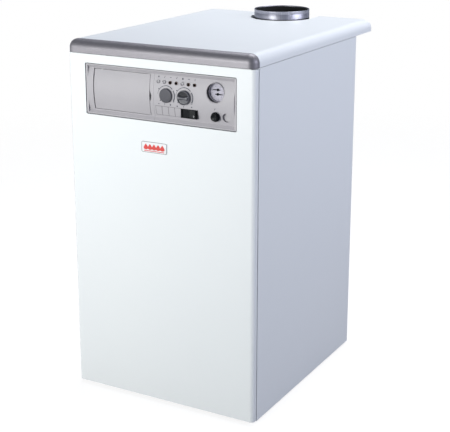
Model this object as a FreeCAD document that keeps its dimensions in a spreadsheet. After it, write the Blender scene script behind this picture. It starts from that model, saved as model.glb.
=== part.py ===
import FreeCAD, Part
import math
import os
import Sketcher

# A floor-standing gas boiler with an atmospheric burner.
# Millimetres. +X right, the front faces -Y, +Z up from the floor.
# The origin is the bottom centre of the whole boiler's box.

doc = FreeCAD.newDocument("floor_standing_boiler")
sheet = doc.addObject("Spreadsheet::Sheet", "Sizes")
pieces = []


class Size:
    """A length that carries its value and its formula over the sheet's cells."""

    def __init__(self, value, formula):
        self.value = value
        self.formula = formula

    def joined(self, sign, other, value):
        return Size(value, "(%s %s %s)" % (self.formula, sign, other.formula))

    def __add__(self, other):
        other = size(other)
        return self.joined("+", other, self.value + other.value)

    def __sub__(self, other):
        other = size(other)
        return self.joined("-", other, self.value - other.value)

    def __mul__(self, other):
        other = size(other)
        return self.joined("*", other, self.value * other.value)

    def __truediv__(self, other):
        other = size(other)
        return self.joined("/", other, self.value / other.value)

    def __neg__(self):
        return Size(-self.value, "(0 - %s)" % self.formula)

    def __radd__(self, other):
        return size(other) + self

    def __rsub__(self, other):
        return size(other) - self

    def __rmul__(self, other):
        return size(other) * self


def size(number):
    if isinstance(number, Size):
        return number
    return Size(number, "(%s)" % repr(float(number)))


def cell(alias, number):
    """Put one driving dimension in the sheet and return it as a Size."""
    row = cell.next_row
    cell.next_row += 1
    sheet.set("A%d" % row, alias)
    sheet.set("B%d" % row, str(number))
    sheet.setAlias("B%d" % row, alias)
    return Size(float(number), "Sizes.%s" % alias)


cell.next_row = 1

PLANES = {"x": "YZ_Plane", "y": "XZ_Plane", "z": "XY_Plane"}


class Piece:
    """One sub-part: a PartDesign body whose sketches and lengths follow the sheet."""

    def __init__(self, name, x=0, y=0, z=0):
        self.body = doc.addObject("PartDesign::Body", name)
        self.body.Label = name
        self.body.AllowCompound = True
        for axis, place in zip("xyz", (x, y, z)):
            self.body.setExpression("Placement.Base." + axis, size(place).formula)
        pieces.append(self.body)

    def sketch(self, axis, at):
        """A sketch square to the axis, at that distance along it."""
        role = PLANES[axis]
        sketch = self.body.newObject("Sketcher::SketchObject", self.body.Name + "_sketch")
        plane = next(item for item in self.body.Origin.OriginFeatures if item.Role == role)
        sketch.AttachmentSupport = (plane, [""])
        sketch.MapMode = "FlatFace"
        offset = -size(at) if axis == "y" else size(at)
        sketch.setExpression("AttachmentOffset.Base.z", offset.formula)
        return sketch

    def pin(self, sketch, edge, end, place):
        """Hold one end of a sketched edge at a place on the sheet."""
        for kind, value in zip(("DistanceX", "DistanceY"), place):
            rule = Sketcher.Constraint(kind, -1, 1, edge, end, value.value)
            number = sketch.addConstraint(rule)
            sketch.setExpression("Constraints[%d]" % number, value.formula)

    def outline(self, sketch, corners):
        """Draw a closed outline. A corner with a third value is reached by an arc of
        that radius: positive with its centre to the left of the way, negative right."""
        places = [(size(corner[0]), size(corner[1])) for corner in corners]
        spots = [FreeCAD.Vector(u.value, v.value, 0) for u, v in places]
        ends = []
        for number, corner in enumerate(corners):
            start, stop = spots[number - 1], spots[number]
            if len(corner) == 2:
                sketch.addGeometry(Part.LineSegment(start, stop), False)
                ends.append((1, 2))
                continue
            radius = size(corner[2])
            chord = stop - start
            left = FreeCAD.Vector(-chord.y, chord.x, 0).normalize()
            reach = math.sqrt(radius.value ** 2 - (chord.Length / 2) ** 2)
            side = math.copysign(1.0, radius.value)
            centre = start + chord * 0.5 + left * (side * reach)
            angles = [math.atan2(p.y - centre.y, p.x - centre.x) for p in (start, stop)]
            if side < 0:
                angles.reverse()
            circle = Part.Circle(centre, FreeCAD.Vector(0, 0, 1), abs(radius.value))
            sketch.addGeometry(Part.ArcOfCircle(circle, angles[0], angles[1]), False)
            ends.append((1, 2) if side > 0 else (2, 1))
        for number in range(len(corners)):
            following = (number + 1) % len(corners)
            rule = Sketcher.Constraint(
                "Coincident", number, ends[number][1], following, ends[following][0])
            sketch.addConstraint(rule)
            self.pin(sketch, number, ends[number][1], places[number])
        for number, corner in enumerate(corners):
            if len(corner) == 3:
                radius = size(corner[2])
                if radius.value < 0:
                    radius = -radius
                rule = sketch.addConstraint(Sketcher.Constraint("Radius", number, radius.value))
                sketch.setExpression("Constraints[%d]" % rule, radius.formula)

    def circle(self, sketch, centre, radius):
        places = [size(value) for value in centre]
        radius = size(radius)
        spot = FreeCAD.Vector(places[0].value, places[1].value, 0)
        normal = FreeCAD.Vector(0, 0, 1)
        edge = sketch.addGeometry(Part.Circle(spot, normal, radius.value), False)
        self.pin(sketch, edge, 3, places)
        rule = sketch.addConstraint(Sketcher.Constraint("Radius", edge, radius.value))
        sketch.setExpression("Constraints[%d]" % rule, radius.formula)

    def extrude(self, sketch, axis, start, end, cut):
        """Add or cut away what the sketch sweeps from start to end along the axis."""
        kind = "PartDesign::Pocket" if cut else "PartDesign::Pad"
        feature = self.body.newObject(kind, self.body.Name + ("_cut" if cut else "_pad"))
        feature.Profile = sketch
        feature.setExpression("Length", (size(end) - start).formula)
        feature.Reversed = (axis == "y") != cut
        return feature

    def block(self, x, y, z, cut=False):
        sketch = self.sketch("z", z[0])
        self.outline(sketch, [(x[0], y[0]), (x[1], y[0]), (x[1], y[1]), (x[0], y[1])])
        return self.extrude(sketch, "z", z[0], z[1], cut)

    def prism(self, axis, corners, start, end, cut=False):
        sketch = self.sketch(axis, start)
        self.outline(sketch, corners)
        return self.extrude(sketch, axis, start, end, cut)

    def rod(self, axis, centre, radius, start, end, cut=False, inner=None):
        """A round bar, hole or tube along the axis."""
        sketch = self.sketch(axis, start)
        self.circle(sketch, centre, radius)
        if inner is not None:
            self.circle(sketch, centre, inner)
        return self.extrude(sketch, axis, start, end, cut)

    def turned(self, axis, corners):
        """A solid of revolution about the piece's own Y or Z axis: (radius, along)."""
        sketch = self.sketch("z" if axis == "y" else "y", 0)
        self.outline(sketch, corners)
        feature = self.body.newObject("PartDesign::Revolution", self.body.Name + "_turned")
        feature.Profile = sketch
        feature.ReferenceAxis = (sketch, ["V_Axis"])
        feature.Angle = 360
        return feature

    def round_edges(self, radius, wanted):
        """Fillet the edges that the test accepts."""
        doc.recompute()
        tip = self.body.Tip
        names = ["Edge%d" % (number + 1)
                 for number, edge in enumerate(tip.Shape.Edges) if wanted(edge)]
        feature = self.body.newObject("PartDesign::Fillet", self.body.Name + "_round")
        feature.Base = (tip, names)
        feature.setExpression("Radius", size(radius).formula)
        return feature

    def hollow(self, wall, wanted):
        """Leave a wall of this thickness, open where the test accepts a face."""
        doc.recompute()
        tip = self.body.Tip
        names = ["Face%d" % (number + 1)
                 for number, face in enumerate(tip.Shape.Faces) if wanted(face)]
        feature = self.body.newObject("PartDesign::Thickness", self.body.Name + "_shell")
        feature.Base = (tip, names)
        feature.setExpression("Value", size(wall).formula)
        feature.Reversed = True
        return feature


def runs_along(edge, axis):
    """Whether a straight edge is parallel to the axis."""
    if edge.Curve.TypeId != "Part::GeomLine":
        return False
    return abs(edge.Curve.Direction.dot(axis)) > 0.999


def near(value, other):
    return abs(value - other.value) < 0.01


Y_AXIS = FreeCAD.Vector(0, 1, 0)
Z_AXIS = FreeCAD.Vector(0, 0, 1)

# ---------------------------------------------------------------- driving dimensions
# casing
half = cell("half_width", 250)
front = cell("front_face_y", -334)
seam = cell("panel_return_depth", 15)
side_rear = cell("side_panel_rear_y", 221)
body_top = cell("body_height", 850)
lid_thick = cell("lid_thickness", 30)
lid_rear = cell("lid_rear_y", 321)
lid_round = cell("lid_edge_radius", 22)
sheet_wall = cell("sheet_thickness", 1.2)
flange = cell("flange_width", 28)
gap = cell("panel_gap", 1)
front_seam = cell("front_panel_seam", 3)
foot_x = cell("foot_offset_x", 200)
foot_front = cell("front_foot_y", -270)
foot_rear = cell("rear_foot_y", 180)
foot_height = cell("foot_height", 8)
trim_deep = cell("trim_depth", 24)
trim_proud = cell("trim_overhang", 5)
trim_round = cell("trim_end_radius", 20)
corner_round = cell("front_corner_radius", 10)

# front panel window and the control fascia
win_left = cell("window_left", -202)
win_right = cell("window_right", 204)
win_low = cell("window_bottom", 705)
win_high = cell("window_top", 827)
window_round = cell("window_corner_radius", 4)
fit_gap = cell("fascia_gap", 1.6)
border = cell("fascia_border_width", 5)
joint_x = cell("fascia_joint_x", -12)
bow_mid = cell("bow_middle_z", 766)
bow_half = cell("bow_half_height", 50)
bow_rise = cell("bow_rise", 7)
bow_peak = cell("bow_peak_y", -335)
shell_wall = cell("fascia_wall", 3)

# control door
door_left = cell("door_left", -177)
door_right = cell("door_right", -23)
door_low = cell("door_bottom", 720)
door_high = cell("door_top", 814)
notch_z = cell("finger_notch_z", 764.5)
notch_deep = cell("finger_notch_depth", 4)
notch_half = cell("finger_notch_half_height", 12.5)
hinge_x = cell("door_hinge_x", -158)
hinge_y = cell("door_hinge_y", -326)
hinge_pin_radius = cell("hinge_pin_radius", 1.5)
running_gap = cell("running_clearance", 0.05)

# knobs, lamps, switch, gauge
knob_radius = cell("knob_radius", 16.75)
knob_front = cell("grip_front_y", -346)
selector_front = cell("selector_front_y", -341)
knob_back = cell("knob_back_y", -336.5)
spindle_radius = cell("spindle_radius", 3)
selector_x = cell("selector_x", 22)
thermostat_x = cell("thermostat_x", 70)
knob_z = cell("knob_z", 770)
lamp_radius = cell("lamp_radius", 3.9)
lamp_pitch = cell("lamp_pitch", 15.9)
lamp_z = cell("lamp_z", 800)
module_left = cell("module_left", -7)
module_pitch = cell("module_pitch", 16.9)
module_low = cell("module_bottom", 723)
module_high = cell("module_top", 744)
rocker_x = cell("rocker_x", 82.5)
rocker_z = cell("rocker_z", 733.5)
rocker_half = cell("rocker_frame_half", 21.8)
rocker_pivot_y = cell("rocker_pivot_y", -329.5)
rocker_tilt = cell("rocker_tilt_degrees", 8.5)
gauge_x = cell("gauge_x", 149.5)
gauge_z = cell("gauge_z", 788)
gauge_radius = cell("gauge_radius", 23.5)
gauge_front = cell("gauge_rim_y", -334.4)
dial_y = cell("dial_y", -321)
pointer_offset = cell("pointer_hub_offset", 5)
cap_x = cell("safety_cap_x", 150.5)
small_z = cell("small_control_z", 734)
cap_radius = cell("safety_cap_radius", 11)
button_x = cell("test_button_x", 177)
button_radius = cell("test_button_radius", 10)
button_front = cell("test_button_front_y", -326)

# heat exchanger, flue and burner
core_x = cell("exchanger_x", 17)
core_half = cell("exchanger_half_width", 165)
core_low = cell("exchanger_bottom", 120)
core_high = cell("exchanger_top", 630)
core_front = cell("exchanger_front_y", -200)
section_pitch = cell("section_pitch", 75)
chamber_half = cell("chamber_half_width", 115)
chamber_high = cell("chamber_top", 330)
header_x = cell("header_offset", 140)
header_radius = cell("header_radius", 20)
cast_wall = cell("cast_wall", 8)
flueway_depth = cell("flueway_depth", 16)
tie_x = cell("tie_rod_offset", 156)
flow_z = cell("flow_z", 570)
return_z = cell("return_z", 156)
stub_radius = cell("water_stub_radius", 16.6)
stub_end = cell("water_stub_end_y", 300)
free_end = cell("free_pipe_end", 60)
catch_inset = cell("catch_inset", 19)
catch_low = cell("lower_catch_z", 100)
catch_high = cell("upper_catch_z", 780)
hood_high = cell("smoke_hood_top", 692)
hood_rear = cell("smoke_hood_rear_y", 114)
box_half = cell("diverter_half_width", 125)
box_low = cell("diverter_bottom", 600)
box_high = cell("diverter_top", 822)
box_rear = cell("diverter_rear_y", 346)
collar_y = cell("collar_y", 260)
collar_radius = cell("collar_radius", 73.6)
collar_high = cell("collar_top", 902)
slot_radius = cell("lid_slot_radius", 83)
tube_radius = cell("burner_tube_radius", 19)
tube_pitch = cell("burner_tube_pitch", 54)
tube_z = cell("burner_tube_z", 200)
manifold_y = cell("manifold_y", -252)
manifold_radius = cell("manifold_radius", 12)
gas_radius = cell("gas_pipe_radius", 10.65)
gas_x = cell("gas_pipe_x", -168)
gas_z = cell("gas_pipe_z", 82)

doc.recompute()

front_back = front + seam
inner_front = front_back + front_seam
core_rear = core_front + section_pitch * 4
bow_radius = (bow_half * bow_half + bow_rise * bow_rise) / (bow_rise * 2)
bow_edge_y = bow_peak + bow_rise
bow_low = bow_mid - bow_half
bow_high = bow_mid + bow_half
notch_radius = (notch_half * notch_half + notch_deep * notch_deep) / (notch_deep * 2)
foot_places = [(x, y) for x in (-foot_x, foot_x) for y in (foot_front, foot_rear)]
lid_top = body_top + lid_thick


# ---------------------------------------------------------------- casing
def make_feet():
    feet = Piece("levelling_feet")
    for place in foot_places:
        feet.rod("z", place, 18, 0, foot_height)
        feet.rod("z", place, 4, foot_height, foot_height + 20)


def make_base_tray():
    wall = sheet_wall + 0.3
    low, high = foot_height, foot_height + 30
    x = half - 1.6
    y_front, y_rear = inner_front + 2, side_rear - 2
    tray = Piece("base_tray")
    tray.block((-x, x), (y_front, y_rear), (low, high))
    tray.block((wall - x, x - wall), (y_front + wall, y_rear - wall), (low + wall, high), True)
    for place in foot_places:
        tray.rod("z", place, 4.5, low, low + wall, True)


def make_side_panel(name, side):
    """A folded sheet: an outer wall with narrow flanges turned in on all four sides."""
    def across(distance):
        return distance * side

    def span(one, other):
        return (one, other) if one.value < other.value else (other, one)

    outer, inner = across(half), across(half - flange)
    low, high = size(6), body_top - gap
    panel = Piece(name)
    panel.block(span(outer, inner), (inner_front, side_rear), (low, high))
    wall = across(half - sheet_wall)
    beyond = across(half - flange - 1)
    hollow_y = (inner_front + sheet_wall, side_rear - sheet_wall)
    panel.block(span(wall, beyond), hollow_y, (low + sheet_wall, high - sheet_wall), True)
    for z in (catch_low, catch_high):
        place = (across(half - catch_inset), z)
        panel.rod("y", place, 6.5, inner_front, inner_front + sheet_wall, True)


def make_rear_panel():
    rear = side_rear - sheet_wall
    panel = Piece("rear_panel")
    x = half - flange - 0.5
    panel.block((-x, x), (rear, side_rear), (40, body_top - 2))
    notch_x = (core_x - box_half - 2, core_x + box_half + 2)
    panel.block(notch_x, (rear, side_rear), (box_low - 2, body_top - 2), True)
    for hole_x, hole_z, radius in ((core_x + header_x, flow_z, 24),
                                   (core_x - header_x, return_z, 24),
                                   (gas_x, gas_z, 16)):
        panel.rod("y", (hole_x, hole_z), radius, rear, side_rear, True)


def make_front_panel():
    """A tray-shaped door skin with rounded corners and a window for the controls."""
    low, high = foot_height, body_top - 2
    panel = Piece("front_panel")
    panel.block((-half, half), (front, front_back), (low, high))
    panel.round_edges(corner_round, lambda edge: runs_along(edge, Z_AXIS)
                      and near(edge.CenterOfMass.y, front))
    panel.hollow(sheet_wall, lambda face: near(face.CenterOfMass.y, front_back))
    window_y = (front, front + sheet_wall)
    panel.block((win_left, win_right), window_y, (win_low, win_high), True)
    panel.round_edges(window_round, lambda edge: runs_along(edge, Y_AXIS)
                      and near(edge.Length, sheet_wall)
                      and (near(edge.CenterOfMass.z, win_low)
                           or near(edge.CenterOfMass.z, win_high)))


def make_lid():
    """A sheet cover with rolled side edges and a U-shaped slot for the flue."""
    lid_front = front - trim_proud + trim_deep
    lid = Piece("top_lid")
    lid.block((-half, half), (lid_front, lid_rear), (body_top, lid_top))
    lid.round_edges(lid_round, lambda edge: runs_along(edge, Y_AXIS)
                    and near(edge.CenterOfMass.z, lid_top))
    lid.hollow(sheet_wall, lambda face: near(face.CenterOfMass.z, body_top))
    lid.rod("z", (core_x, collar_y), slot_radius, body_top, lid_top, True)
    slot_x = (core_x - slot_radius, core_x + slot_radius)
    lid.block(slot_x, (collar_y, lid_rear), (body_top, lid_top), True)


def make_trim():
    """The bullnose moulding along the lid's front edge."""
    trim_front = front - trim_proud
    trim_rear = trim_front + trim_deep - 0.2
    trim = Piece("lid_front_trim")
    trim.block((-half, half), (trim_front, trim_rear), (body_top, lid_top))
    trim.round_edges(trim_round, lambda edge: runs_along(edge, Y_AXIS)
                     and near(edge.CenterOfMass.z, lid_top))
    trim.round_edges(trim_round - 1, lambda edge: edge.CenterOfMass.y < trim_front.value + 0.01
                     and edge.CenterOfMass.z > body_top.value + 0.5)
    hollow_y = (trim_front + 10, trim_rear - 4)
    hollow_x = half - lid_round
    trim.block((-hollow_x, hollow_x), hollow_y, (body_top, body_top + 18), True)


def make_badge():
    """The blank name plate on the front panel."""
    badge = Piece("badge_plate")
    badge.block((-47, 22), (front - 1.2, front), (631, 657))
    badge.round_edges(4, lambda edge: runs_along(edge, Y_AXIS))


def make_catches():
    """Ball studs on the front panel, and the sockets that grip them."""
    studs = Piece("catch_studs")
    sockets = Piece("catch_sockets")
    for side in (-1, 1):
        x = (half - catch_inset) * side
        for z in (catch_low, catch_high):
            studs.rod("y", (x, z), 4, front + sheet_wall, front + sheet_wall + 2)
            studs.rod("y", (x, z), 3, front + sheet_wall + 2, inner_front + 8)
            studs.rod("y", (x, z), 5, inner_front + 8, inner_front + 14)
            start = inner_front + sheet_wall
            sockets.rod("y", (x, z), 9, start, start + 18, False, 5.2)


def make_cross_rail():
    """The bar across the top front that carries the control box."""
    x = half - flange - 0.3
    rail = Piece("front_cross_rail")
    rail.block((-x, x), (inner_front + 3, inner_front + 28), (836, 848))
    rail.block((-x, x), (inner_front + 4.5, inner_front + 28), (836, 846.5), True)


# ---------------------------------------------------------------- control box
def bow_outline(low, high, wall):
    """The curved section of the fascia between two heights, of this thickness."""
    def depth(z, radius):
        drop = math.sqrt(radius.value ** 2 - (z.value - bow_mid.value) ** 2)
        return bow_peak + bow_radius - drop

    inner = bow_radius - wall
    return [(depth(low, inner), low), (depth(high, inner), high, -inner),
            (depth(high, bow_radius), high), (depth(low, bow_radius), low, bow_radius)]


def make_fascia(name, left, right, border_x):
    """Half of the fascia: a lip, bands that slope in, a bowed face between them, and a
    flat border with rounded corners at its outer end."""
    low, high = win_low + fit_gap, win_high - fit_gap
    lip = front + 1
    part = Piece(name)
    part.prism("x", [
        (lip, low), (lip, low + 2), (bow_edge_y, bow_low),
        (bow_edge_y, bow_high, -bow_radius), (lip, high - 2), (lip, high),
        (lip + shell_wall, high), (lip + shell_wall, high - 1),
        (bow_edge_y + shell_wall, bow_high), (bow_edge_y + shell_wall, bow_low, bow_radius),
        (lip + shell_wall, low + 1), (lip + shell_wall, low)], left, right)
    part.block(border_x, (lip, bow_edge_y + shell_wall), (low, high))
    outer = border_x[0] if border_x[0].value < left.value else border_x[1]
    part.round_edges(window_round - 1, lambda edge: runs_along(edge, Y_AXIS)
                     and near(edge.CenterOfMass.x, outer))
    return part


def make_left_fascia():
    """The door side of the fascia, with the door opening, its finger notch and hinge lugs."""
    start = win_left + fit_gap
    part = make_fascia("fascia_left", start + border, joint_x - 0.2, (start, start + border))
    opening_x = (door_left - 2.5, door_right + 1)
    opening_y = (front - 20, front + 30)
    part.block(opening_x, opening_y, (door_low - 1, door_high + 1), True)
    notch = (opening_x[1] + notch_deep - notch_radius, notch_z)
    part.rod("y", notch, notch_radius, opening_y[0], opening_y[1], True)
    lug_x = (hinge_x - 5, hinge_x + 5)
    lug_y = (bow_edge_y + 0.5, hinge_y + 4)
    for low, high in ((door_high + 1, door_high + 5), (door_low - 5, door_low - 1)):
        part.block(lug_x, lug_y, (low, high))
        part.rod("z", (hinge_x, hinge_y), hinge_pin_radius, low, high, True)


def make_right_fascia():
    """The instrument side of the fascia, with a hole for each control and a deep well
    round the test button."""
    end = win_right - fit_gap
    part = make_fascia("fascia_right", joint_x + 0.2, end - border, (end - border, end))
    near_y, far_y = front - 20, front + 30
    well = button_radius + 1.7
    part.rod("y", (button_x, small_z), well, front, front + 14)
    part.prism("x", [(near_y, bow_low), (bow_edge_y, bow_low),
                     (bow_edge_y, bow_high, -bow_radius), (near_y, bow_high)],
               button_x - well, button_x + well, True)
    for x in (selector_x, thermostat_x):
        part.rod("y", (x, knob_z), spindle_radius + 1, near_y, far_y, True)
    for number in range(7):
        part.rod("y", (lamp_pitch * number, lamp_z), lamp_radius + 0.1, near_y, far_y, True)
    part.rod("y", (gauge_x, gauge_z), gauge_radius + 0.1, near_y, far_y, True)
    part.rod("y", (cap_x, small_z), 5.5, near_y, far_y, True)
    part.rod("y", (button_x, small_z), button_radius + 0.2, near_y, far_y, True)
    blanks_right = module_left + module_pitch * 4
    part.block((module_left - 0.3, blanks_right), (near_y, far_y),
               (module_low - 0.3, module_high + 0.3), True)
    part.block((blanks_right, rocker_x + 21), (near_y, far_y),
               (rocker_z - 9.7, rocker_z + 9.7), True)


def make_door():
    """The bowed flap, with two knuckles on its back."""
    door = Piece("control_door")
    door.prism("x", bow_outline(door_low, door_high, shell_wall), door_left, door_right)
    for low in (door_low + 4, door_high - 14):
        door.block((hinge_x - 4, hinge_x + 4), (bow_edge_y - 1.5, hinge_y + 3.5), (low, low + 10))
    door.rod("z", (hinge_x, hinge_y), hinge_pin_radius + running_gap,
             door_low, door_high, True)


def make_hinge_pin():
    pin = Piece("door_hinge_pin", hinge_x, hinge_y, 0)
    pin.rod("z", (0, 0), hinge_pin_radius, door_low - 5, door_high + 5)


def make_control_tray():
    """The sheet-metal box behind the fascia, open at the front."""
    x0, x1 = win_left + 2, win_right - 2
    y0, y1 = front + 16, front + 116
    wall = sheet_wall
    tray = Piece("control_tray")
    tray.block((x0, x1), (y0, y1), (700, 836))
    tray.block((x0 + wall, x1 - wall), (y0, y1 - wall), (700 + wall, 836 - wall), True)


def make_knob(name, x, face):
    """A round knob, bored from behind for its spindle."""
    knob = Piece(name, x, 0, knob_z)
    bore_end = face + 2
    knob.turned("y", [(spindle_radius, knob_back), (knob_radius, knob_back),
                      (knob_radius - 0.6, face + 1.2), (knob_radius - 1.8, face),
                      (0, face), (0, bore_end), (spindle_radius, bore_end)])
    return knob


def make_grip_knob(name, x):
    """A knob with a raised bar across its face."""
    face = knob_front + 3
    knob = make_knob(name, x, face)
    reach = knob_radius - 2
    knob.block((-reach, reach), (knob_front, face + 0.5), (-3, 3))


def make_spindle(name, x, start):
    spindle = Piece(name, x, 0, knob_z)
    spindle.rod("y", (0, 0), spindle_radius, start, front + 16)


def make_switch_body(name, x):
    """The body that a spindle turns in, behind the fascia."""
    body = Piece(name, x, 0, knob_z)
    body.block((-15, 15), (front + 4, front + 34), (-14, 14))
    body.rod("y", (0, 0), spindle_radius + running_gap, front + 4, front + 18, True)


def make_lamps(name, places):
    """Lens-capped indicator lamps, one solid each."""
    lamps = Piece(name)
    for number in places:
        centre = (lamp_pitch * number, lamp_z)
        lamps.rod("y", centre, lamp_radius, bow_peak + 2.2, bow_peak + 12)


def make_blanks():
    """Four snap-in blanking plates that follow the bow."""
    blanks = Piece("blanking_plates")
    for number in range(4):
        left = module_left + module_pitch * number
        outline = bow_outline(module_low, module_high, shell_wall)
        blanks.prism("x", outline, left, left + module_pitch - 0.8)


def make_rocker_switch():
    """A black frame, and the rocker that tilts left and right in it."""
    frame = Piece("rocker_frame", rocker_x, rocker_pivot_y, rocker_z)
    frame.block((-rocker_half, rocker_half), (-5.8, -4.7), (-10.5, 10.5))
    frame.block((-20.8, 20.8), (-4.7, 22), (-9.5, 9.5))
    frame.block((-20, 20), (-5.8, 8), (-8.9, 8.9), True)
    frame.rod("z", (0, 0), 1.5 + running_gap, -9.3, 9.3, True)
    rocker = Piece("power_rocker", rocker_x, rocker_pivot_y, rocker_z)
    rocker.rod("z", (0, 0), 19.6, -8.7, 8.7)
    rocker.prism("z", [(-21, -6.1), (-21, -21), (21, -21), (21, -6.1), (0, -3)], -8.7, 8.7, True)
    rocker.prism("z", [(-21, 4), (0, 6), (21, 4), (21, 21), (-21, 21)], -8.7, 8.7, True)
    rocker.rod("z", (0, 0), 1.5, -9.2, 9.2)
    rocker.body.setExpression("Placement.Rotation.Angle", "0 - " + rocker_tilt.formula)
    rocker.body.setExpression("Placement.Rotation.Axis.z", "1")


def make_gauge():
    """A recessed round gauge with two pointers behind its glass."""
    housing = Piece("gauge_housing", gauge_x, dial_y, gauge_z)
    inner = gauge_radius - 2.2
    rim = gauge_front - dial_y
    housing.turned("y", [(gauge_radius, rim), (inner + 0.6, rim), (inner, rim + 0.8), (inner, 1),
                         (0, 1), (0, 22), (gauge_radius, 22)])
    dial = Piece("gauge_dial", gauge_x, dial_y, gauge_z)
    dial.rod("y", (0, 0), inner - 0.1, 0, 1)
    glass = Piece("gauge_glass", gauge_x, dial_y, gauge_z)
    glass.rod("y", (0, 0), inner - 0.1, -5.2, -4)
    make_pointer("temperature_pointer", pointer_offset, -1)
    make_pointer("pressure_pointer", -pointer_offset, 1)


def make_pointer(name, rise, side):
    """A hub with a tapering needle that points left (-1) or right (1)."""
    pointer = Piece(name, gauge_x, dial_y, gauge_z + rise)
    pointer.rod("y", (0, 0), 2.4, -3.2, -0.2)
    needle = [(2 * side, -0.9), (13 * side, -0.2), (13 * side, 0.2), (2 * side, 0.9),
              (-4 * side, 0.9), (-4 * side, -0.9)]
    if side < 0:
        needle.reverse()
    pointer.prism("y", needle, -2, -1.2)


def make_safety_thermostat():
    """The hand-reset limit thermostat, with a screw cap over its button."""
    body = Piece("safety_thermostat", cap_x, 0, small_z)
    body.rod("y", (0, 0), 4.9, front - 2, front + 8)
    body.rod("y", (0, 0), 14, front + 8, front + 36)
    cap = Piece("safety_cap", cap_x, 0, small_z)
    back = front - 0.2
    cap.turned("y", [(4.95, back), (cap_radius, back), (cap_radius, back - 2),
                     (cap_radius - 1.6, back - 3), (cap_radius - 2.4, back - 8.4),
                     (cap_radius - 4, back - 9.4), (0, back - 9.4), (0, back - 4), (4.95, back - 4)])


def make_test_button():
    button = Piece("test_button", button_x, 0, small_z)
    back = button_front + 6
    button.turned("y", [(0, button_front), (button_radius - 1, button_front),
                        (button_radius, button_front + 1), (button_radius, back),
                        (3, back), (3, back + 13), (0, back + 13)])


def make_electrics():
    """The wiring board inside the control box and the burner control on the side wall."""
    board = Piece("terminal_board")
    board_y = front + 100
    board.block((0, 180), (board_y, board_y + 1.6), (715, 820))
    for low in (725, 785):
        board.block((15, 165), (board_y - 14, board_y), (low, low + 18))
    box = Piece("ignition_controller")
    box.block((0.2 + sheet_wall - half, 40 - half), (-290, -200), (300, 430))
    box.round_edges(4, lambda edge: runs_along(edge, Y_AXIS) and edge.CenterOfMass.x > -215)


# ---------------------------------------------------------------- heat exchanger
def make_section(piece, number, is_rear=False):
    """One hollow cast section: an arch over the burner, with a pinned flueway at its back."""
    y0 = core_front + section_pitch * number
    y1 = y0 + section_pitch
    flue_y = y1 if is_rear else y1 - flueway_depth
    chamber_x = (core_x - chamber_half, core_x + chamber_half)
    piece.block((core_x - core_half, core_x + core_half), (y0, y1), (core_low, core_high))
    piece.block(chamber_x, (y0, y1 - 20 if is_rear else y1), (core_low, chamber_high), True)
    if not is_rear:
        piece.block(chamber_x, (flue_y, y1), (chamber_high, core_high), True)
        for row in range(4):
            for column in range(5):
                x = core_x + (column - 2) * 42 + (row % 2) * 14
                piece.rod("y", (x, chamber_high + 45 + row * 65), 9, flue_y, y1 - 2)
    jacket = core_half - cast_wall * 2
    piece.block((core_x - jacket, core_x + jacket), (y0 + cast_wall, flue_y - cast_wall),
                (chamber_high + cast_wall, core_high - cast_wall), True)
    leg_z = (core_low + cast_wall, core_high - cast_wall)
    leg_y = (y0 + cast_wall, y1 - cast_wall)
    inner = chamber_half + cast_wall
    piece.block((core_x - jacket, core_x - inner), leg_y, leg_z, True)
    piece.block((core_x + inner, core_x + jacket), leg_y, leg_z, True)
    bore_start = y0 + 30 if number == 0 else y0
    for x, z in ((core_x + header_x, flow_z), (core_x - header_x, return_z)):
        piece.rod("y", (x, z), header_radius, bore_start, y1, True)
    for side in (-1, 1):
        for z in (210, 520):
            piece.rod("y", (core_x + tie_x * side, z), 5.5, y0, y1, True)


def make_heat_exchanger():
    make_section(Piece("front_section"), 0)
    make_section(Piece("second_section"), 1)
    make_section(Piece("third_section"), 2)
    make_section(Piece("rear_section"), 3, True)
    nipples = Piece("section_nipples")
    for x, z in ((core_x + header_x, flow_z), (core_x - header_x, return_z)):
        for number in range(1, 4):
            y = core_front + section_pitch * number
            nipples.rod("y", (x, z), header_radius, y - 12, y + 12, False, header_radius - 4)
    rods = Piece("tie_rods")
    for side in (-1, 1):
        for z in (210, 520):
            centre = (core_x + tie_x * side, z)
            rods.rod("y", centre, 5, core_front - 16, core_rear + 16)
            rods.rod("y", centre, 8, core_front - 8, core_front)
            rods.rod("y", centre, 8, core_rear, core_rear + 8)


def make_water_stubs():
    """The flow and return stubs, screwed into the rear section."""
    stubs = Piece("water_stubs")
    for x, z in ((core_x + header_x, flow_z), (core_x - header_x, return_z)):
        stubs.rod("y", (x, z), header_radius, core_rear - 24, core_rear, False, stub_radius - 3)
        shoulder = stub_end - free_end
        stubs.rod("y", (x, z), stub_radius + 2, core_rear, shoulder, False, stub_radius - 3)
        stubs.rod("y", (x, z), stub_radius, shoulder, stub_end, False, stub_radius - 3)


def make_insulation():
    """Mineral wool round the sides and back of the cast block."""
    inner, outer = core_half + 1, core_half + 26
    rear_in, rear_out = core_rear + 1, core_rear + 26
    low, high = core_low + 6, core_high - 6
    wool = Piece("insulation_jacket")
    wool.prism("z", [
        (core_x - outer, core_front + 4), (core_x - inner, core_front + 4),
        (core_x - inner, rear_in), (core_x + inner, rear_in),
        (core_x + inner, core_front + 4), (core_x + outer, core_front + 4),
        (core_x + outer, rear_out), (core_x - outer, rear_out)], low, high)
    for x, z, radius in ((core_x + header_x, flow_z, 22), (core_x - header_x, return_z, 22),
                         (core_x + tie_x, 210, 12), (core_x - tie_x, 210, 12),
                         (core_x + tie_x, 520, 12), (core_x - tie_x, 520, 12)):
        wool.rod("y", (x, z), radius, rear_in, rear_out, True)


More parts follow.
